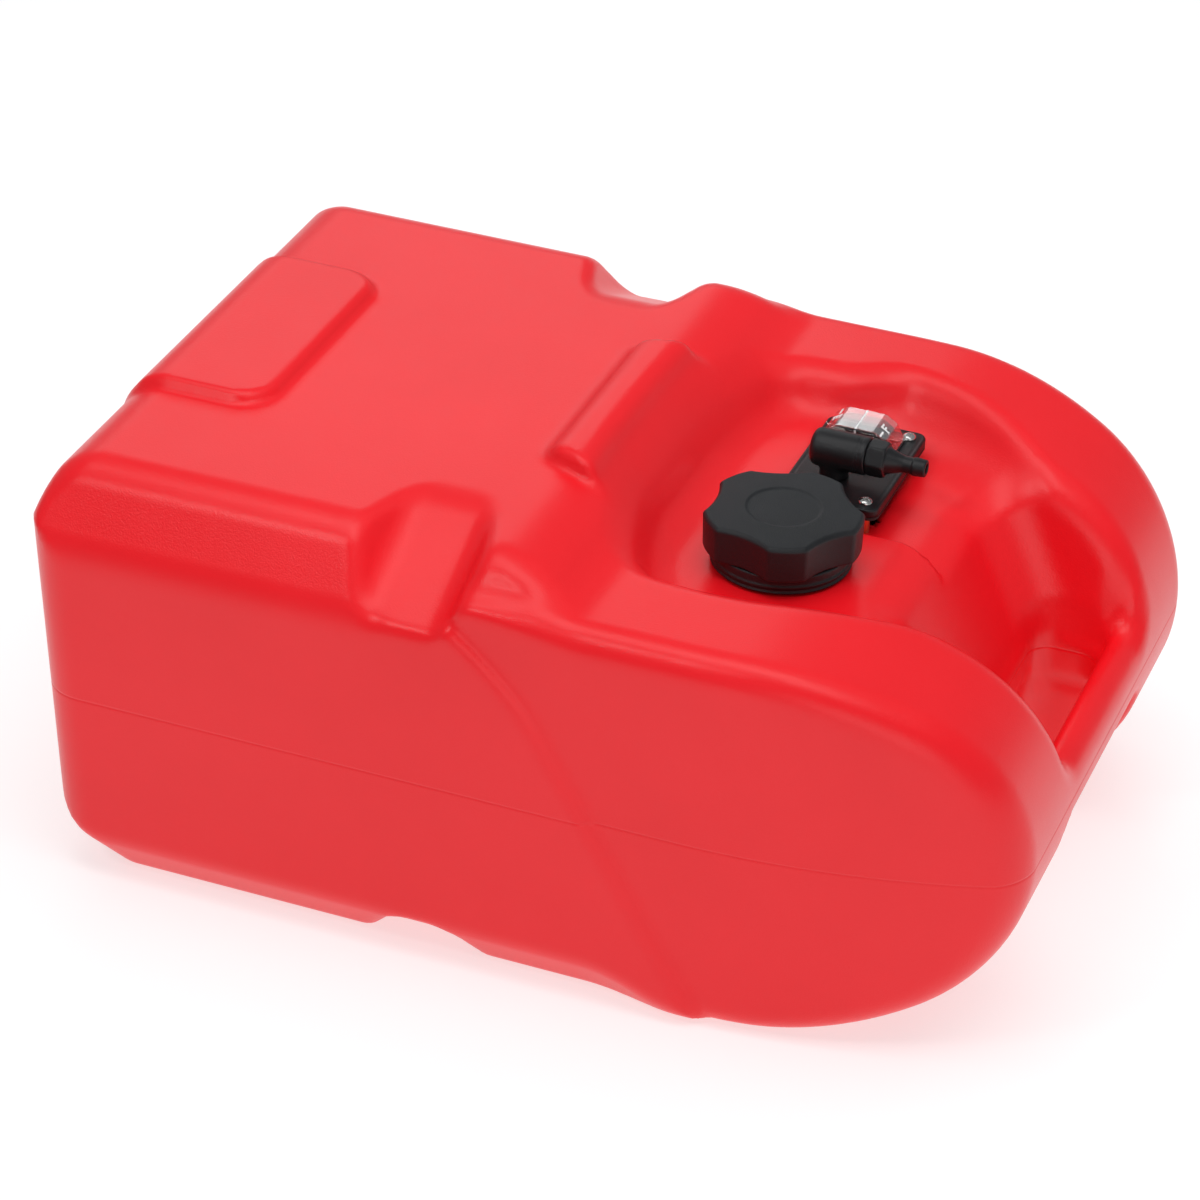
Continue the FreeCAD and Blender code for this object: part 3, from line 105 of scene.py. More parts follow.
def nose_side(x, z):
    """The rounded nose from the side: on each half a quarter oval of two arcs."""
    tip = 95.0
    halves = []
    for centre, rise, up in ((112.0, RAIL_TOP - PARTING, z - PARTING), (116.0, PARTING, PARTING - z)):
        reach = FRONT - centre
        crown = ((reach - tip) ** 2 + rise ** 2 - tip ** 2) / (2 * (rise - tip))
        sunk = crown - rise
        ahead = x - centre
        large = np.hypot(ahead, up + sunk) - crown
        small = np.hypot(ahead - reach + tip, up) - tip
        over_tip = up * (reach - tip) < (ahead - reach + tip) * sunk
        bend = np.where(over_tip, small, large)
        halves.append(np.where(ahead < 0, up - rise, bend))
    return np.where(z > PARTING, *halves)


def side_wall(x, across, z):
    """The upright side: bowed in plan at the nose, and proud of it behind the slanted crease."""
    bow_start, bow = 87.0, 460.0
    bowed = np.hypot(np.maximum(x - bow_start, 0), across - TRUNK_HALF + bow) - bow
    line = 44 + (PARTING - z) * 0.6 - 0.00714 * np.maximum(z - 150, 0) ** 2
    return bowed - PANEL_STEP * step((line - x) / 9 + 0.5)


def raised_hood(x, across, z):
    """The lip behind the recess."""
    crest = BLOCK_TOP + 9
    form = both(z - crest, beyond(x, z, (-25, crest), (-29.5, BLOCK_TOP)), 5)
    form = both(form, beyond(x, z, (14, RAIL_TOP), (-4, crest)), 6)
    return both(form, beyond(x, across, (31, 83), (-34, 60)), 5)


def raised_pad(x, across, z):
    """The bare pad that reaches over the rear edge."""
    top = BLOCK_TOP + 6
    form = both(z - top, beyond(x, z, (-244, top), (-262, 213)), 8)
    corner = both(x + 178, across - 75, 20)
    return both(form, corner, 4)


def well(x, y, z):
    """The recess for the cap and the gauge: its walls lean back, and its near side is narrower."""
    lean = math.radians(33)
    across, height = np.abs(y), z - FLOOR

    def room(*corners):
        form = -height
        for start, end in zip(corners[1:], corners):
            wall = -beyond(x, across, end, start) * math.cos(lean) - height * math.sin(lean)
            form = both(form, wall, 10)
        return form

    far = room((31, 0), (31, 62), (44, 100.5), (124, 107), (153, 86))
    far = either(far, both(room((153, 86), (234, 58)), 100 - x, 9), 36)
    near = room((31, 0), (31, 62), (46, 98), (66, 103), (161, 88), (234, 58))
    return np.where(y > 0, far, near)


def hand_gap(x, across, z):
    """The pocket between the recess and the bar, with the way through it for the fingers."""
    low, high = 114.0, 199.0
    slope = beyond(x, z, (148.5, high), (197, low))
    spread = beyond(across, z, (64, low), (82, high))
    trough = both(slope, spread, 28)
    front = beyond(x, z, (234, low), (267, high))
    trough = both(both(trough, front, 6), low - z, 4)
    over = both(both(230 - x, spread, 12), 126 - z, 10)
    return either(trough, over, 8)


def finger_recess(x, across, z):
    """The room for the fingers under the bar, open below and in front."""
    form = both(beyond(x, z, (197, 92), (178, 0)), beyond(across, z, (72, 0), (64, 92)), 18)
    form = both(form, z - 92, 8)
    hole = both(both(197 - x, x - 234, 6), across - 64, 12)
    hole = both(hole, np.abs(z - 109) - 25, 4)
    return either(form, hole, 6)


def under_groove(x, z):
    """The channel across the base."""
    form = both(beyond(x, z, (-60, 20), (-76, 0)), beyond(x, z, (-15, 0), (-31, 20)), 4)
    return both(form, z - 20, 6)


def strap_notch(x, across, z):
    """A notch in each shoulder: its floor slopes from the top down to the side wall."""
    inner = 113.0
    run, fall = HALF - inner, BLOCK_TOP - SIDE_TOP
    floor = beyond(across, z, (HALF, SIDE_TOP), (inner, BLOCK_TOP))
    level = z - BLOCK_TOP + (across - inner) * fall / run
    back = beyond(x, level, (-76, 0), (-104, 44))
    front = beyond(x, level, (-7, 44), (-35, 0))
    return both(both(-floor, -back, 6), -front, 6)


def tank_form(x, y, z):
    """Signed distance from the tank's outside, about right near the surface."""
    across = np.abs(y)
    rear = beyond(x, z, (BACK_TOP, BLOCK_TOP), (BACK_FOOT, 0))
    block = both(z - BLOCK_TOP, beyond(x, z, (26, RAIL_TOP - 1), (4, BLOCK_TOP)), 14)
    block = both(block, beyond(across, z, (HALF, SIDE_TOP), (156, BLOCK_TOP)), 10)
    block = both(block, beyond(x, z, (-246, BLOCK_TOP), (-262, BLOCK_TOP - 22)), 11)
    block = either(block, raised_pad(x, across, z), 4)
    block = np.maximum(block, x - 60)
    trunk = np.maximum(nose_side(x, z), -63 - x)
    form = either(block, trunk, 8)
    form = either(form, raised_hood(x, across, z), 5)
    side = side_wall(x, across, z)
    foot = beyond(across, z, (168.5, 0), (184.5, 24)) - 24 * step((x - 40) / 120)
    form = both(form, side, 6 + 9 * step((x + 20) / 60) + 2 * step((x - 120) / 100))
    form = both(form, foot, 3)
    form = both(form, both(rear, beyond(x, z, (-252, 42), (-220, 0)), 10), 10)
    form = np.maximum(form, both(side, rear, 23.6))
    form = both(form, -z, 4)
    form = carve(form, well(x, y, z), 9)
    form = carve(form, hand_gap(x, across, z), 14)
    form = carve(form, finger_recess(x, across, z), 7)
    form = carve(form, under_groove(x, z), 5)
    form = carve(form, strap_notch(x, across, z), 5)
    return form + 0.35 * np.exp(-((z - PARTING) / 0.45) ** 2)


def cap_form(x, y, z):
    """The grip: a shallow crown, five scallops with chamfered rims, and a hollow below."""
    x, y = x - CAP_X, y - CAP_Y
    out = np.hypot(x, y)
    fifth = math.radians(72)
    turn = np.mod(np.arctan2(y, x) - math.radians(40) + fifth / 2, fifth) - fifth / 2
    dent = 45 - np.hypot(out * np.cos(turn) - 80, out * np.sin(turn))
    draft = (CAP_TOP - z) * 0.03
    side = both(out - CAP_RADIUS + draft, dent + draft, 1.0)
    crown = z - CAP_TOP + (out / CAP_RADIUS) ** 2 + 0.6 * step((19.5 - out) / 1.6)
    form = both(np.maximum(side, crown), (side + crown) * 0.7071 + 1.1, 0.3)
    form = both(form, CAP_LOW - z, 0.8)
    form = carve(form, both(out - 32.7, z - 216.6, 1.5), 0.6)
    grips = np.abs(np.mod(z, 2.4) - 1.2) - 0.9
    return np.maximum(form, -both(both(np.abs(out - 32.7) - 0.4, grips, 0.2), z - 213, 0.2))


def closure_form(x, y, z):
    """The threaded closure: a skirt with fine bands, the plate and the vent's cage."""
    x, y = x - CAP_X, y - CAP_Y
    out = np.hypot(x, y)
    bands = 0.8 * (step((z - 191.2) / 0.5) - step((z - 192.3) / 0.5) + step((z - 194.0) / 0.5)
                   - step((z - 195.6) / 0.5))
    skirt = both(both(out - 35 - bands, 191 - z, 0.3), z - 200.5, 0.5)
    drum = both(out - 32.4, z - 214, 0.6)
    form = np.minimum(skirt, np.maximum(drum, 199 - z))
    groove = 0.5 + 0.5 * np.cos((z / 6 + np.arctan2(y, x) / math.tau) * math.tau)
    form = carve(form, both(out - 30.4 - 0.4 * groove, z - 210, 0.4), 0.3)
    cage = both(both(out - 7, 196 - z, 0.3), z - 211, 0.3)
    form = np.minimum(form, np.maximum(cage, 5.2 - out))
    return np.maximum(form, 2.5 - out)


def neck_form(x, y, z):
    """The filler neck with its thread sunk between the ridges."""
    x, y = x - CAP_X, y - CAP_Y
    out = np.hypot(x, y)
    groove = 0.5 + 0.5 * np.cos((z / 6 + np.arctan2(y, x) / math.tau) * math.tau)
    depth = 0.9 * step(1.8 * groove - 0.4) * step((z - 191) / 1.5) * step((206.5 - z) / 1)
    form = both(out - NECK_RADIUS + depth, z - NECK_TOP, 0.8)
    return both(both(form, NECK_BORE - out, 0.6), 186.5 - z, 0.3)


def plate_form(x, y, z):
    """The plate that carries the gauge and the outlet."""
    x, y = x - PLATE_X, y - PLATE_Y
    form = both(both(np.abs(x) - 27, np.abs(y) - 43.5, 6), z - PLATE_TOP, 0.9)
    form = both(form, 191.5 - z, 0.3)
    slot = both(np.abs(x + 3) - 15.5, np.abs(y - 20.5) - 5, 1)
    way = np.hypot(x + 5, y + 16) - 5.7
    seats = [np.hypot(x - side, y - end) - 2.1 for side in (-18.8, 18.8) for end in (-36, 36)]
    form = carve(form, np.minimum(slot, way), 0.4)
    for seat in seats:
        form = np.maximum(form, -seat)
    rim = np.abs(both(np.abs(x) - 24.6, np.abs(y) - 41.1, 4)) - 0.35
    return np.maximum(form, -both(rim, 195.7 - z, 0.1))


def screw_form(x, y, z):
    """A pan-head screw with a cross recess, its head's seat on z 0."""
    out = np.hypot(x, y)
    head = both(np.hypot(out, z + 2.6) - 5.2, out - 3.7, 0.5)
    head = both(head, -z, 0.15)
    arm_half, arm_reach = 0.55, 2.3
    along_y = np.maximum(np.abs(x) - arm_half, np.abs(y) - arm_reach)
    along_x = np.maximum(np.abs(y) - arm_half, np.abs(x) - arm_reach)
    arms = np.minimum(along_y, along_x)
    head = carve(head, both(arms + (2.6 - z) * 0.25, 0.9 - z, 0.1), 0.12)
    thread = 0.22 * np.cos((z / 0.8 + np.arctan2(y, x) / math.tau) * math.tau)
    shank = both(both(out - 1.65 + thread, z - 0.5, 0.1), -16 - z, 0.4)
    return np.minimum(head, shank)


def outlet_form(x, y, z):
    """The outlet: a barrel on an upright leg, with the spigot and the ways through them."""
    x, y, z = x - OUTLET_X, y - OUTLET_Y, z - OUTLET_Z
    out = np.hypot(y, z)
    seams = sum(0.3 * step(1 - np.abs(x - place) / 0.5) for place in (13.2, 14.6))
    barrel = both(both(out - 10 + seams, -12 - x, 4), x - 18, 0.7)
    upright = np.hypot(x, y)
    leg = both(both(upright - 7.5, -15 - z, 0.2), z - 4, 0.2)
    form = either(barrel, leg, 2)
    form = np.minimum(form, both(both(upright - 5.5, -35 - z, 0.5), z - 2, 0.2))
    form = carve(form, both(out - 6.55, 8 - x, 0.2), 0.4)
    form = np.maximum(form, -both(both(out - 3, -3 - x, 0.2), x - 10, 0.2))
    form = carve(form, both(upright - 4.25, z + 14, 0.2), 0.3)
    return np.maximum(form, -both(upright - 2, z, 0.2))


def tail_form(x, y, z):
    """The hose tail: plug, nut-shaped flange, cone and barb."""
    x, y, z = x - 98, y - OUTLET_Y, z - OUTLET_Z
    out = np.hypot(y, z)
    sixth = math.radians(60)
    turn = np.mod(np.arctan2(z, y), sixth) - sixth / 2
    nut = both(out * np.cos(turn) - 8.5, np.abs(x - 15) - 5, 0.4)
    nut = both(nut, out - 9.65 + 0.5 * np.maximum(np.abs(x - 15) - 3.4, 0), 0.4)
    plug = both(both(out - 6.4, -x, 0.4), x - 12, 0.2)
    plug = carve(plug, both(5.3 - out, np.abs(x - 2.6) - 0.6, 0.1), 0.1)
    cone = both(both(out - 7.4 + (x - 20) * 0.375, x - 28.5, 0.3), 18 - x, 0.2)
    shank = both(both(out - 4.4, x - 40.6, 0.3), 20 - x, 0.2)
    collar = both(both(out - 4.9 + 0.1 * np.maximum(x - 36, 0), 34 - x, 0.25), x - 41, 0.8)
    form = np.minimum(nut, plug)
    form = either(form, either(cone, shank, 0.8), 0.6)
    form = either(form, collar, 0.3)
    return carve(form, out - 2.6, 0.4)


def grid_lines(low, high, pitch):
    count = int(math.ceil((high - low) / pitch))
    return np.linspace(low, high, count + 1)


def net_of(field, lines):
    """Places and quads of a surface net on a grid, each place then moved onto the surface."""
    grid = np.meshgrid(*lines, indexing="ij")
    values = field(*grid)
    inside = values < 0
    shape = [size - 1 for size in values.shape]
    total = np.zeros(shape + [3])
    count = np.zeros(shape)
    corner = [slice(0, -1), slice(1, None)]
    for axis in range(3):
        others = [other for other in range(3) if other != axis]
        for pick in range(4):
            first = [None, None, None]
            first[others[0]] = corner[pick % 2]
            first[others[1]] = corner[pick // 2]
            second = list(first)
            first[axis], second[axis] = corner
            first, second = tuple(first), tuple(second)
            a, b = values[first], values[second]
            crossed = inside[first] != inside[second]
            share = np.where(crossed, a / np.where(crossed, a - b, 1), 0)
            for entry in range(3):
                start, end = grid[entry][first], grid[entry][second]
                total[..., entry] += np.where(crossed, start + (end - start) * share, 0)
            count += crossed
    active = count > 0
    numbers = np.full(shape, -1)
    numbers[active] = np.arange(active.sum())
    places = total[active] / count[active][:, None]
    quads = []
    for axis in range(3):
        one, two = (axis + 1) % 3, (axis + 2) % 3
        first = [slice(1, -1)] * 3
        second = [slice(1, -1)] * 3
        first[axis], second[axis] = corner
        crossed = inside[tuple(first)] != inside[tuple(second)]
        forward = inside[tuple(first)][crossed]
        spots = np.argwhere(crossed)
        spots[:, [one, two]] += 1
        ring = []
        for back_one, back_two in ((0, 0), (1, 0), (1, 1), (0, 1)):
            cell = spots.copy()
            cell[:, one] -= back_one
            cell[:, two] -= back_two
            ring.append(numbers[tuple(cell.T)])
        ring = np.stack(ring, axis=1)
        ring[forward] = ring[forward][:, ::-1]
        quads.append(ring)
    quads = np.concatenate(quads)
    for _ in range(3):
        places = settle(field, places)
    return places, quads


def settle(field, places):
    """Moves places along the field's slope onto the surface."""
    reach = 0.05
    value = field(*places.T)
    slope = np.empty_like(places)
    for entry in range(3):
        ahead = places.copy()
        ahead[:, entry] += reach
        slope[:, entry] = (field(*ahead.T) - value) / reach
    size = np.maximum((slope * slope).sum(axis=1), 0.25)
    return places - slope * (value / size)[:, None]


def mesh_piece(name, places, faces, material, body, smooth=True):
    """A piece from places in millimetres."""
    mesh = bpy.data.meshes.new(name)
    mesh.from_pydata((np.asarray(places) * MM).tolist(), [], [list(face) for face in faces])
    mesh.polygons.foreach_set("use_smooth", [smooth] * len(mesh.polygons))
    mesh.materials.append(material)
    piece = bpy.data.objects.new(name, mesh)
    bpy.context.scene.collection.objects.link(piece)
    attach(piece, body)
    return piece


def new_material(name):
    material = bpy.data.materials.new(name)
    material.use_nodes = True
    nodes = material.node_tree.nodes
    return material, nodes, material.node_tree.links, nodes["Principled BSDF"]


def bump_from(nodes, links, shader, height, strength, distance):
    bump = nodes.new("ShaderNodeBump")
    bump.inputs["Strength"].default_value = strength
    bump.inputs["Distance"].default_value = distance
    links.new(height, bump.inputs["Height"])
    links.new(bump.outputs["Normal"], shader.inputs["Normal"])


def noise(nodes, links, scale, detail=3.0):
    """A noise over the object's own coordinates, in turns per metre."""
    place = nodes.new("ShaderNodeTexCoord")
    pattern = nodes.new("ShaderNodeTexNoise")
    pattern.inputs["Scale"].default_value = scale
    pattern.inputs["Detail"].default_value = detail
    links.new(place.outputs["Object"], pattern.inputs["Vector"])
    return pattern.outputs["Fac"]


def ramp(nodes, links, source, stops):
    """A colour ramp with (place, colour) stops."""
    node = nodes.new("ShaderNodeValToRGB")
    elements = node.color_ramp.elements
    while len(elements) < len(stops):
        elements.new(0.5)
    for element, (at, colour) in zip(elements, stops):
        element.position = at
        element.color = (*colour, 1)
    links.new(source, node.inputs["Fac"])
    return node.outputs["Color"]


def plastic(name, dark, light, roughness, grain_scale, grain, patch_scale=12.0):
    """Moulded plastic: a little colour variation, uneven gloss and a fine grain."""
    material, nodes, links, shader = new_material(name)
    colour = ramp(nodes, links, noise(nodes, links, patch_scale), [(0.3, dark), (0.7, light)])
    links.new(colour, shader.inputs["Base Color"])
    gloss = nodes.new("ShaderNodeMapRange")
    gloss.inputs["To Min"].default_value = roughness - 0.02
    gloss.inputs["To Max"].default_value = roughness + 0.02
    links.new(noise(nodes, links, patch_scale * 5), gloss.inputs["Value"])
    links.new(gloss.outputs["Result"], shader.inputs["Roughness"])
    bump_from(nodes, links, shader, noise(nodes, links, grain_scale, 4.0), grain, 0.0004)
    shader.inputs["IOR"].default_value = 1.45
    return material


def metal(name, colour, roughness):
    material, nodes, links, shader = new_material(name)
    shade = [part * 0.85 for part in colour]
    links.new(ramp(nodes, links, noise(nodes, links, 90), [(0.3, shade), (0.7, colour)]),
              shader.inputs["Base Color"])
    shader.inputs["Metallic"].default_value = 1.0
    shader.inputs["Roughness"].default_value = roughness
    bump_from(nodes, links, shader, noise(nodes, links, 2500), 0.15, 0.0001)
    return material


def clear_plastic():
    material, nodes, links, shader = new_material("clear_window")
    shader.inputs["Base Color"].default_value = (0.96, 0.98, 0.98, 1)
    shader.inputs["Transmission Weight"].default_value = 1.0
    shader.inputs["IOR"].default_value = 1.3
    shader.inputs["Alpha"].default_value = 0.4
    shader.inputs["Roughness"].default_value = 0.03
    bump_from(nodes, links, shader, noise(nodes, links, 200), 0.05, 0.0002)
    return material


RED = plastic("red_polyethylene", (0.84, 0.006, 0.012), (0.88, 0.008, 0.015), 0.30, 1100, 0.30)
CAP_BLACK = plastic("cap_black", (0.006, 0.007, 0.008), (0.010, 0.011, 0.013), 0.46, 2200, 0.5)
FITTING_BLACK = plastic("fitting_black", (0.005, 0.005, 0.006), (0.008, 0.008, 0.009), 0.36, 2600, 0.35)
WHITE = plastic("natural_white", (0.74, 0.72, 0.66), (0.80, 0.78, 0.72), 0.40, 1500, 0.2)
FOAM = plastic("float_foam", (0.020, 0.020, 0.020), (0.035, 0.035, 0.034), 0.75, 1800, 0.9)
RUBBER = plastic("seal_rubber", (0.012, 0.012, 0.012), (0.020, 0.020, 0.020), 0.60, 2500, 0.4)
STEEL = metal("bright_steel", (0.68, 0.68, 0.66), 0.22)
SPRING = metal("spring_steel", (0.52, 0.52, 0.51), 0.32)
BRASS = metal("turned_brass", (0.72, 0.50, 0.22), 0.28)
CLEAR = clear_plastic()
PAINT = plastic("white_paint", (0.80, 0.80, 0.80), (0.86, 0.86, 0.86), 0.45, 1500, 0.2)

FINISHES = {
    "red_polyethylene": RED,
    "cap_plastic": CAP_BLACK,
    "fitting_plastic": FITTING_BLACK,
    "clear_plastic": CLEAR,
    "white_acetal": WHITE,
    "float_foam": FOAM,
    "seal_rubber": RUBBER,
    "stainless_steel": STEEL,
    "spring_steel": SPRING,
    "insert_brass": BRASS,
}


def dress_nodes():
    """Gives each node of the solid model the finish that its record names."""
    slots = {part["node"]: part["material_slot"] for part in frame["record"]["subparts"]}
    for name, node in frame["nodes"].items():
        finish = FINISHES[slots[name]]
        node.data.materials.clear()
        node.data.materials.append(finish)


def net_piece(name, form, low, high, pitch, finish, body, nodes):
    """A piece whose surface follows a form, on an even grid that reaches past its box."""
    pitch *= 1
    lines = [grid_lines(start - 1.5 * pitch, end + 1.5 * pitch, pitch) for start, end in zip(low, high)]
    places, quads = net_of(form, lines)
    piece = mesh_piece(name, places, quads, finish, body)
    if nodes:
        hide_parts(*nodes)
    return piece


def tank_lines():
    """Grid lines over the tank, closer together beside the mould's parting line."""
    pitch = 3.0
    lines = [grid_lines(low - 2 * pitch, high + 2 * pitch, pitch)
             for low, high in zip(TANK_LOW[:2], TANK_HIGH[:2])]
    close = [0.45, 0.9, 1.4, 2.2]
    near = [PARTING + sign * gap for gap in close for sign in (-1, 1)] + [PARTING]
    below = grid_lines(-2 * pitch, PARTING - 4, pitch)
    above = grid_lines(PARTING + 4, TANK_HIGH[2] + 2 * pitch, pitch)
    lines.append(np.array(sorted([*below, *near, *above])))
    return lines


def open_wall(tank, name, low, high, sides):
    """Cuts an opening with straight or round sides through the tank's wall."""
    centre = (Vector(low) + Vector(high)) / 2
    reach = (Vector(high) - Vector(low)) / 2
    start = math.pi / sides
    scale = 1 / math.cos(start)
    angles = [start + math.tau * turn / sides for turn in range(sides)]
    ring = [(math.cos(angle) * scale, math.sin(angle) * scale) for angle in angles]
    places = [(centre.x + x * reach.x, centre.y + y * reach.y, z)
              for z in (low[2], high[2]) for x, y in ring]
    faces = [list(range(sides))[::-1], list(range(sides, 2 * sides))]
    faces += [[turn, (turn + 1) % sides, (turn + 1) % sides + sides, turn + sides] for turn in range(sides)]
    cutter_mesh = bpy.data.meshes.new(name)
    cutter_mesh.from_pydata([tuple(entry * MM for entry in place) for place in places], [], faces)
    cutter = bpy.data.objects.new(name, cutter_mesh)
    bpy.context.scene.collection.objects.link(cutter)
    cut = tank.modifiers.new(name, "BOOLEAN")
    cut.operation = "DIFFERENCE"
    cut.solver = "MANIFOLD"
    cut.object = cutter
    bpy.context.view_layer.update()
    opened = bpy.data.meshes.new_from_object(tank.evaluated_get(bpy.context.evaluated_depsgraph_get()))
    tank.modifiers.remove(cut)
    tank.data = opened
    bpy.data.objects.remove(cutter)


def make_tank():
    places, quads = net_of(tank_form, tank_lines())
    pitch = LINING_PITCH
    lines = [grid_lines(low - pitch, high + pitch, pitch) for low, high in zip(TANK_LOW, TANK_HIGH)]
    inside, lining = net_of(lambda x, y, z: tank_form(x, y, z) + WALL, lines)
    faces = np.concatenate([quads, lining[:, ::-1] + len(places)])
    tank = mesh_piece("moulded_tank", np.concatenate([places, inside]), faces, RED, "tank")
    below, above = FLOOR - 14, FLOOR + 10
    for name, x, y, half_x, half_y, sides in (
            ("filler_opening", CAP_X, CAP_Y, 27, 27, 48),
            ("gauge_opening", PLATE_X, PLATE_Y, 22, 29.5, 4)):
        open_wall(tank, name, (x - half_x, y - half_y, below), (x + half_x, y + half_y, above), sides)
    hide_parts("tank_body")
    net_piece("filler_neck", neck_form, (60, -70.5, 186.5), (120, -10.5, 208), 1.0, RED, "tank", ())


def make_cap():
    low = (CAP_X - CAP_RADIUS, CAP_Y - CAP_RADIUS)
    high = (CAP_X + CAP_RADIUS, CAP_Y + CAP_RADIUS)
    net_piece("cap_grip_cover", cap_form, (*low, CAP_LOW), (*high, CAP_TOP), 0.7, CAP_BLACK, "cap_grip",
              ["cap_shell"])
    net_piece("cap_closure", closure_form, (*low, 191), (*high, 214), 0.8, CAP_BLACK, "cap",
              ["cap_inner"])


def make_fittings():
    net_piece("fitting_plate", plate_form, (68, 12.5, 191.5), (122, 99.5, 196), 0.8, FITTING_BLACK, "tank",
              ["gauge_plate"])
    net_piece("outlet_barrel", outlet_form, (78, 30, 176), (108, 50, 221), 0.6, FITTING_BLACK, "tank",
              ["outlet_elbow"])
    net_piece("hose_tail", tail_form, (98, 30, 201), (139, 50, 221), 0.5, FITTING_BLACK, "tank",
              ["hose_barb"])
    pitch = 0.3
    lines = [grid_lines(-4.5, 4.5, pitch), grid_lines(-4.5, 4.5, pitch), grid_lines(-17, 3.5, pitch)]
    places, quads = net_of(screw_form, lines)
    spots = []
    rings = []
    for number, (across, aside) in enumerate(SCREWS):
        angle = 0.5 + 1.1 * number
        turned = places @ np.array([[math.cos(angle), math.sin(angle), 0],
                                    [-math.sin(angle), math.cos(angle), 0], [0, 0, 1]])
        spots.append(turned + (across, aside, PLATE_TOP))
        rings.append(quads + number * len(places))
    screws = mesh_piece("pan_head_screws", np.concatenate(spots), np.concatenate(rings), STEEL, "tank")
    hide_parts("plate_screws")


def profile_shell(outer, inner, half_out, half_in):
    """Places and faces of a hollow cover, open below, from two profiles across the X axis."""
    count = len(outer)
    places = [(x, side * half, z) for profile, half in ((outer, half_out), (inner, half_in))
              for side in (-1, 1) for x, z in profile]
    faces = [list(range(count)), list(range(2 * count - 1, count - 1, -1))]
    faces += [list(range(3 * count - 1, 2 * count - 1, -1)), list(range(3 * count, 4 * count))]
    for index in range(count - 1):
        near, far = index, count + index
        faces.append([near + 1, near, far, far + 1])
        near, far = near + 2 * count, far + 2 * count
        faces.append([near, near + 1, far + 1, far])
    last = count - 1
    for first, second in ((0, count), (count + last, last)):
        faces.append([first, second, second + 2 * count, first + 2 * count][::-1])
    for index, side in ((0, 1), (count, -1)):
        run = [index, index + last, index + last + 2 * count, index + 2 * count]
        faces.append(run[::-side])
    return places, faces


def make_window():
    """The clear window, its painted ticks and its two letters."""
    outer = [(-21, 0), (-16.5, 9), (-10.3, 13), (10.3, 13), (16.5, 9), (21, 0)]
    inner = [(-19, 0), (-14.5, 8), (-9.3, 11), (9.3, 11), (14.5, 8), (19, 0)]
    places, faces = profile_shell(outer, inner, 11, 9)
    places = [(LENS_X + x, LENS_Y + y, LENS_BASE + z) for x, y, z in places]
    window = mesh_piece("level_window", places, faces, CLEAR, "tank", smooth=False)
    edges = window.modifiers.new("soft_edges", "BEVEL")
    edges.width = 0.9 * MM
    edges.segments = 3
    edges.limit_method = "ANGLE"
    edges.angle_limit = math.radians(20)
    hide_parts("gauge_lens")
    places, faces = [], []

    def stroke(corner, along, width):
        """A thin painted bar on the surface, from a corner by two edges."""
        corner, along, width = Vector(corner), Vector(along), Vector(width)
        proud = along.cross(width).normalized() * 0.12
        first = len(places)
        for lift in (-proud * 0.5, proud):
            places.extend(tuple(corner + shift + lift) for shift in (Vector(), along, along + width, width))
        faces.extend([[first + number for number in ring] for ring in (
            (0, 3, 2, 1), (4, 5, 6, 7), (0, 1, 5, 4), (1, 2, 6, 5), (2, 3, 7, 6), (3, 0, 4, 7))])

    stroke((LENS_X - 0.5, LENS_Y - 10.4, LENS_BASE + 13), (1.0, 0, 0), (0, 20.8, 0))
    stroke((LENS_X + 0.5, LENS_Y - 11, LENS_BASE + 7.5), (-1.0, 0, 0), (0, 0, 4.6))
    for side, bars in ((1, ((4.4, 1.0), (2.4, 0.7))), (-1, ((4.4, 1.0), (2.4, 0.8), (0.4, 1.0)))):
        down = Vector((side * 0.840, 0, -0.542))
        over = Vector((0, side, 0))
        start = Vector((LENS_X + side * 11.2, LENS_Y - 2.4 * side, LENS_BASE + 12.42))
        stroke(start, down * 5.6, over * 1.1)
        for height, reach in bars:
            stroke(start + over * 1.1 + down * (5.0 - height - 0.4), down * 1.0, over * (2.8 * reach))
        stroke(start - over * 7.4 + down * 2.0, down * 1.1, over * 5.2)
    marks = mesh_piece("window_marks", places, faces, PAINT, "tank", smooth=False)


def make_stage():
    """A wide, pale floor with a faint glow of its own."""
    mesh = bpy.data.meshes.new("floor")
    wide = 6.0
    corners = [(-wide, -wide, 0), (wide, -wide, 0), (wide, wide, 0), (-wide, wide, 0)]
    mesh.from_pydata(corners, [], [(0, 1, 2, 3)])
    floor = bpy.data.objects.new("floor", mesh)
    bpy.context.scene.collection.objects.link(floor)
    material, _, _, shader = new_material("pale_floor")
    shader.inputs["Base Color"].default_value = (0.5, 0.5, 0.5, 1)
    shader.inputs["Roughness"].default_value = 0.8
    shader.inputs["Emission Color"].default_value = (1, 1, 1, 1)
    shader.inputs["Emission Strength"].default_value = 0.6
    mesh.materials.append(material)


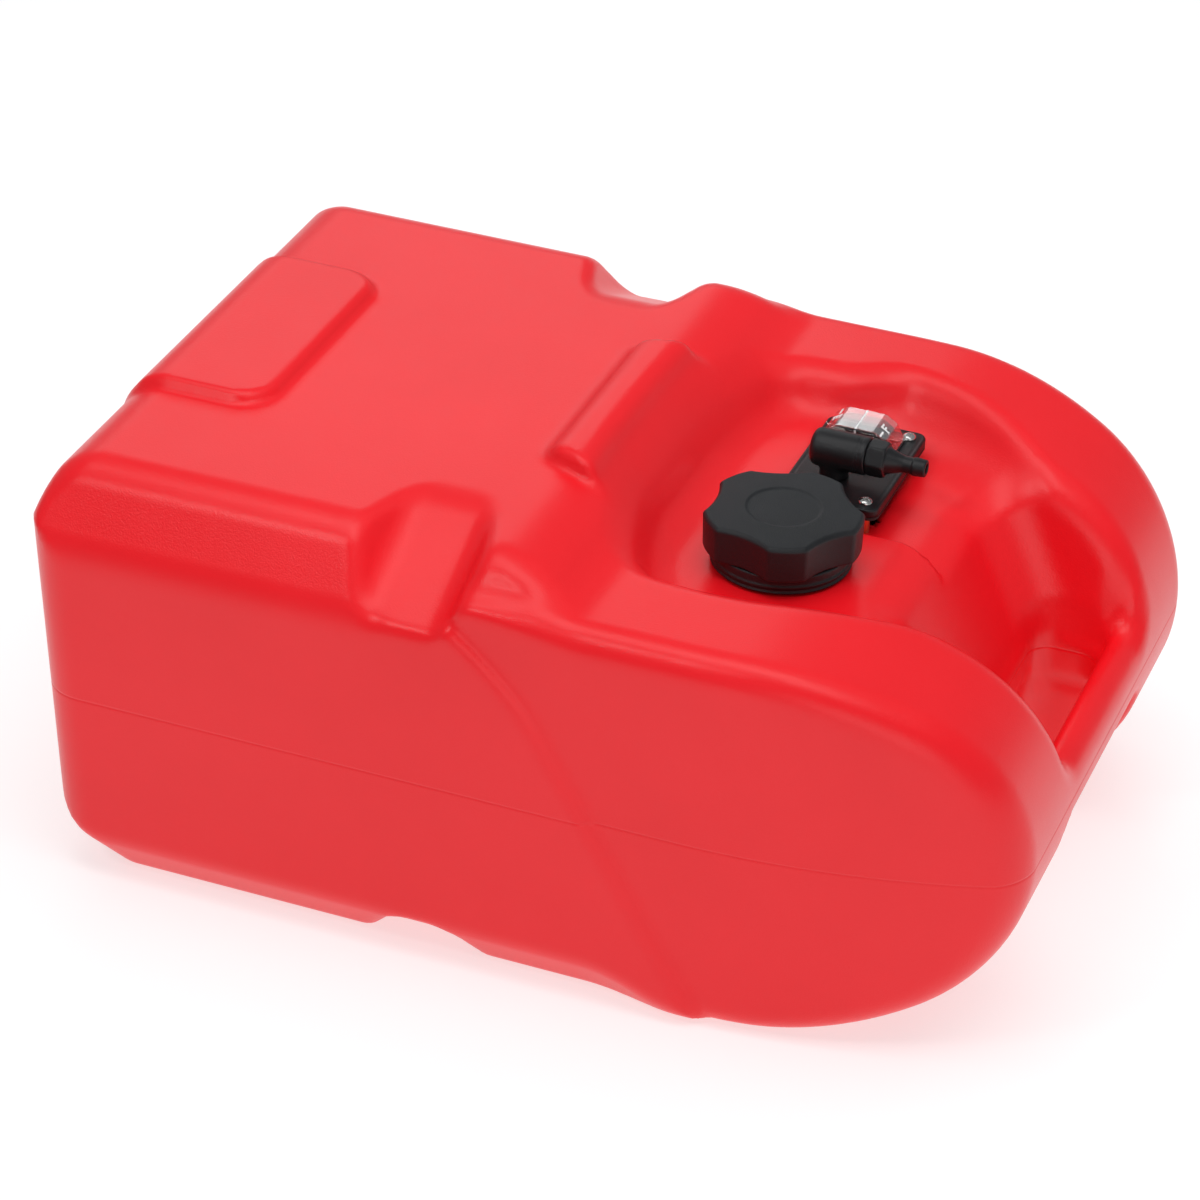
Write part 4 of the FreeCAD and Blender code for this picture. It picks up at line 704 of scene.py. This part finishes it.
def area_light(name, place, target, size, power, glossy=True):
    light = bpy.data.lights.new(name, "AREA")
    light.shape = "RECTANGLE"
    light.size, light.size_y = size
    light.energy = power
    lamp = bpy.data.objects.new(name, light)
    direction = Vector(target) - Vector(place)
    lamp.matrix_world = Matrix.Translation(place) @ direction.to_track_quat("-Z", "Y").to_matrix().to_4x4()
    lamp.visible_glossy = glossy
    bpy.context.scene.collection.objects.link(lamp)


def make_lights():
    world = bpy.data.worlds.new("studio")
    world.use_nodes = True
    background = world.node_tree.nodes["Background"]
    background.inputs["Color"].default_value = (0.94, 0.965, 1.0, 1)
    background.inputs["Strength"].default_value = 0.30
    bpy.context.scene.world = world
    bpy.context.scene.view_settings.view_transform = "Standard"
    area_light("overhead", (-0.1, -0.3, 1.9), (0, 0, 0.1), (2.0, 0.6), 8)
    area_light("soft_top", (0.5, 0.2, 2.2), (0.05, 0, 0.1), (2.4, 2.4), 27, glossy=False)
    area_light("window_behind", (-1.1, 1.9, 1.35), (0, 0, 0.2), (1.4, 0.9), 4)
    area_light("front_fill", (1.5, -2.6, 0.9), (0, 0, 0.1), (2.2, 1.4), 12)
    area_light("key", (-0.75, -1.25, 1.8), (0, 0, 0.1), (0.45, 0.22), 5)


def make_camera():
    """The photograph's own viewpoint, from its fitted angles."""
    turn, drop, roll = math.radians(20.6), math.radians(32.1), math.radians(-1.805)
    ahead = Vector((-math.sin(turn) * math.cos(drop), math.cos(turn) * math.cos(drop), -math.sin(drop)))
    right = Vector((math.cos(turn), math.sin(turn), 0))
    down = ahead.cross(right)
    level, sunk = right, down
    right = math.cos(roll) * level + math.sin(roll) * sunk
    down = math.cos(roll) * sunk - math.sin(roll) * level
    camera = bpy.data.cameras.new("camera")
    camera.sensor_width = 36.0
    camera.lens = 126.93
    holder = bpy.data.objects.new("camera", camera)
    facing = Matrix((right, -down, -ahead)).transposed().to_4x4()
    holder.matrix_world = Matrix.Translation((0.6396, -1.7573, 1.2922)) @ facing
    bpy.context.scene.collection.objects.link(holder)
    bpy.context.scene.camera = holder


make_camera()
make_stage()
make_lights()
dress_nodes()
make_tank()
make_cap()
make_fittings()
make_window()
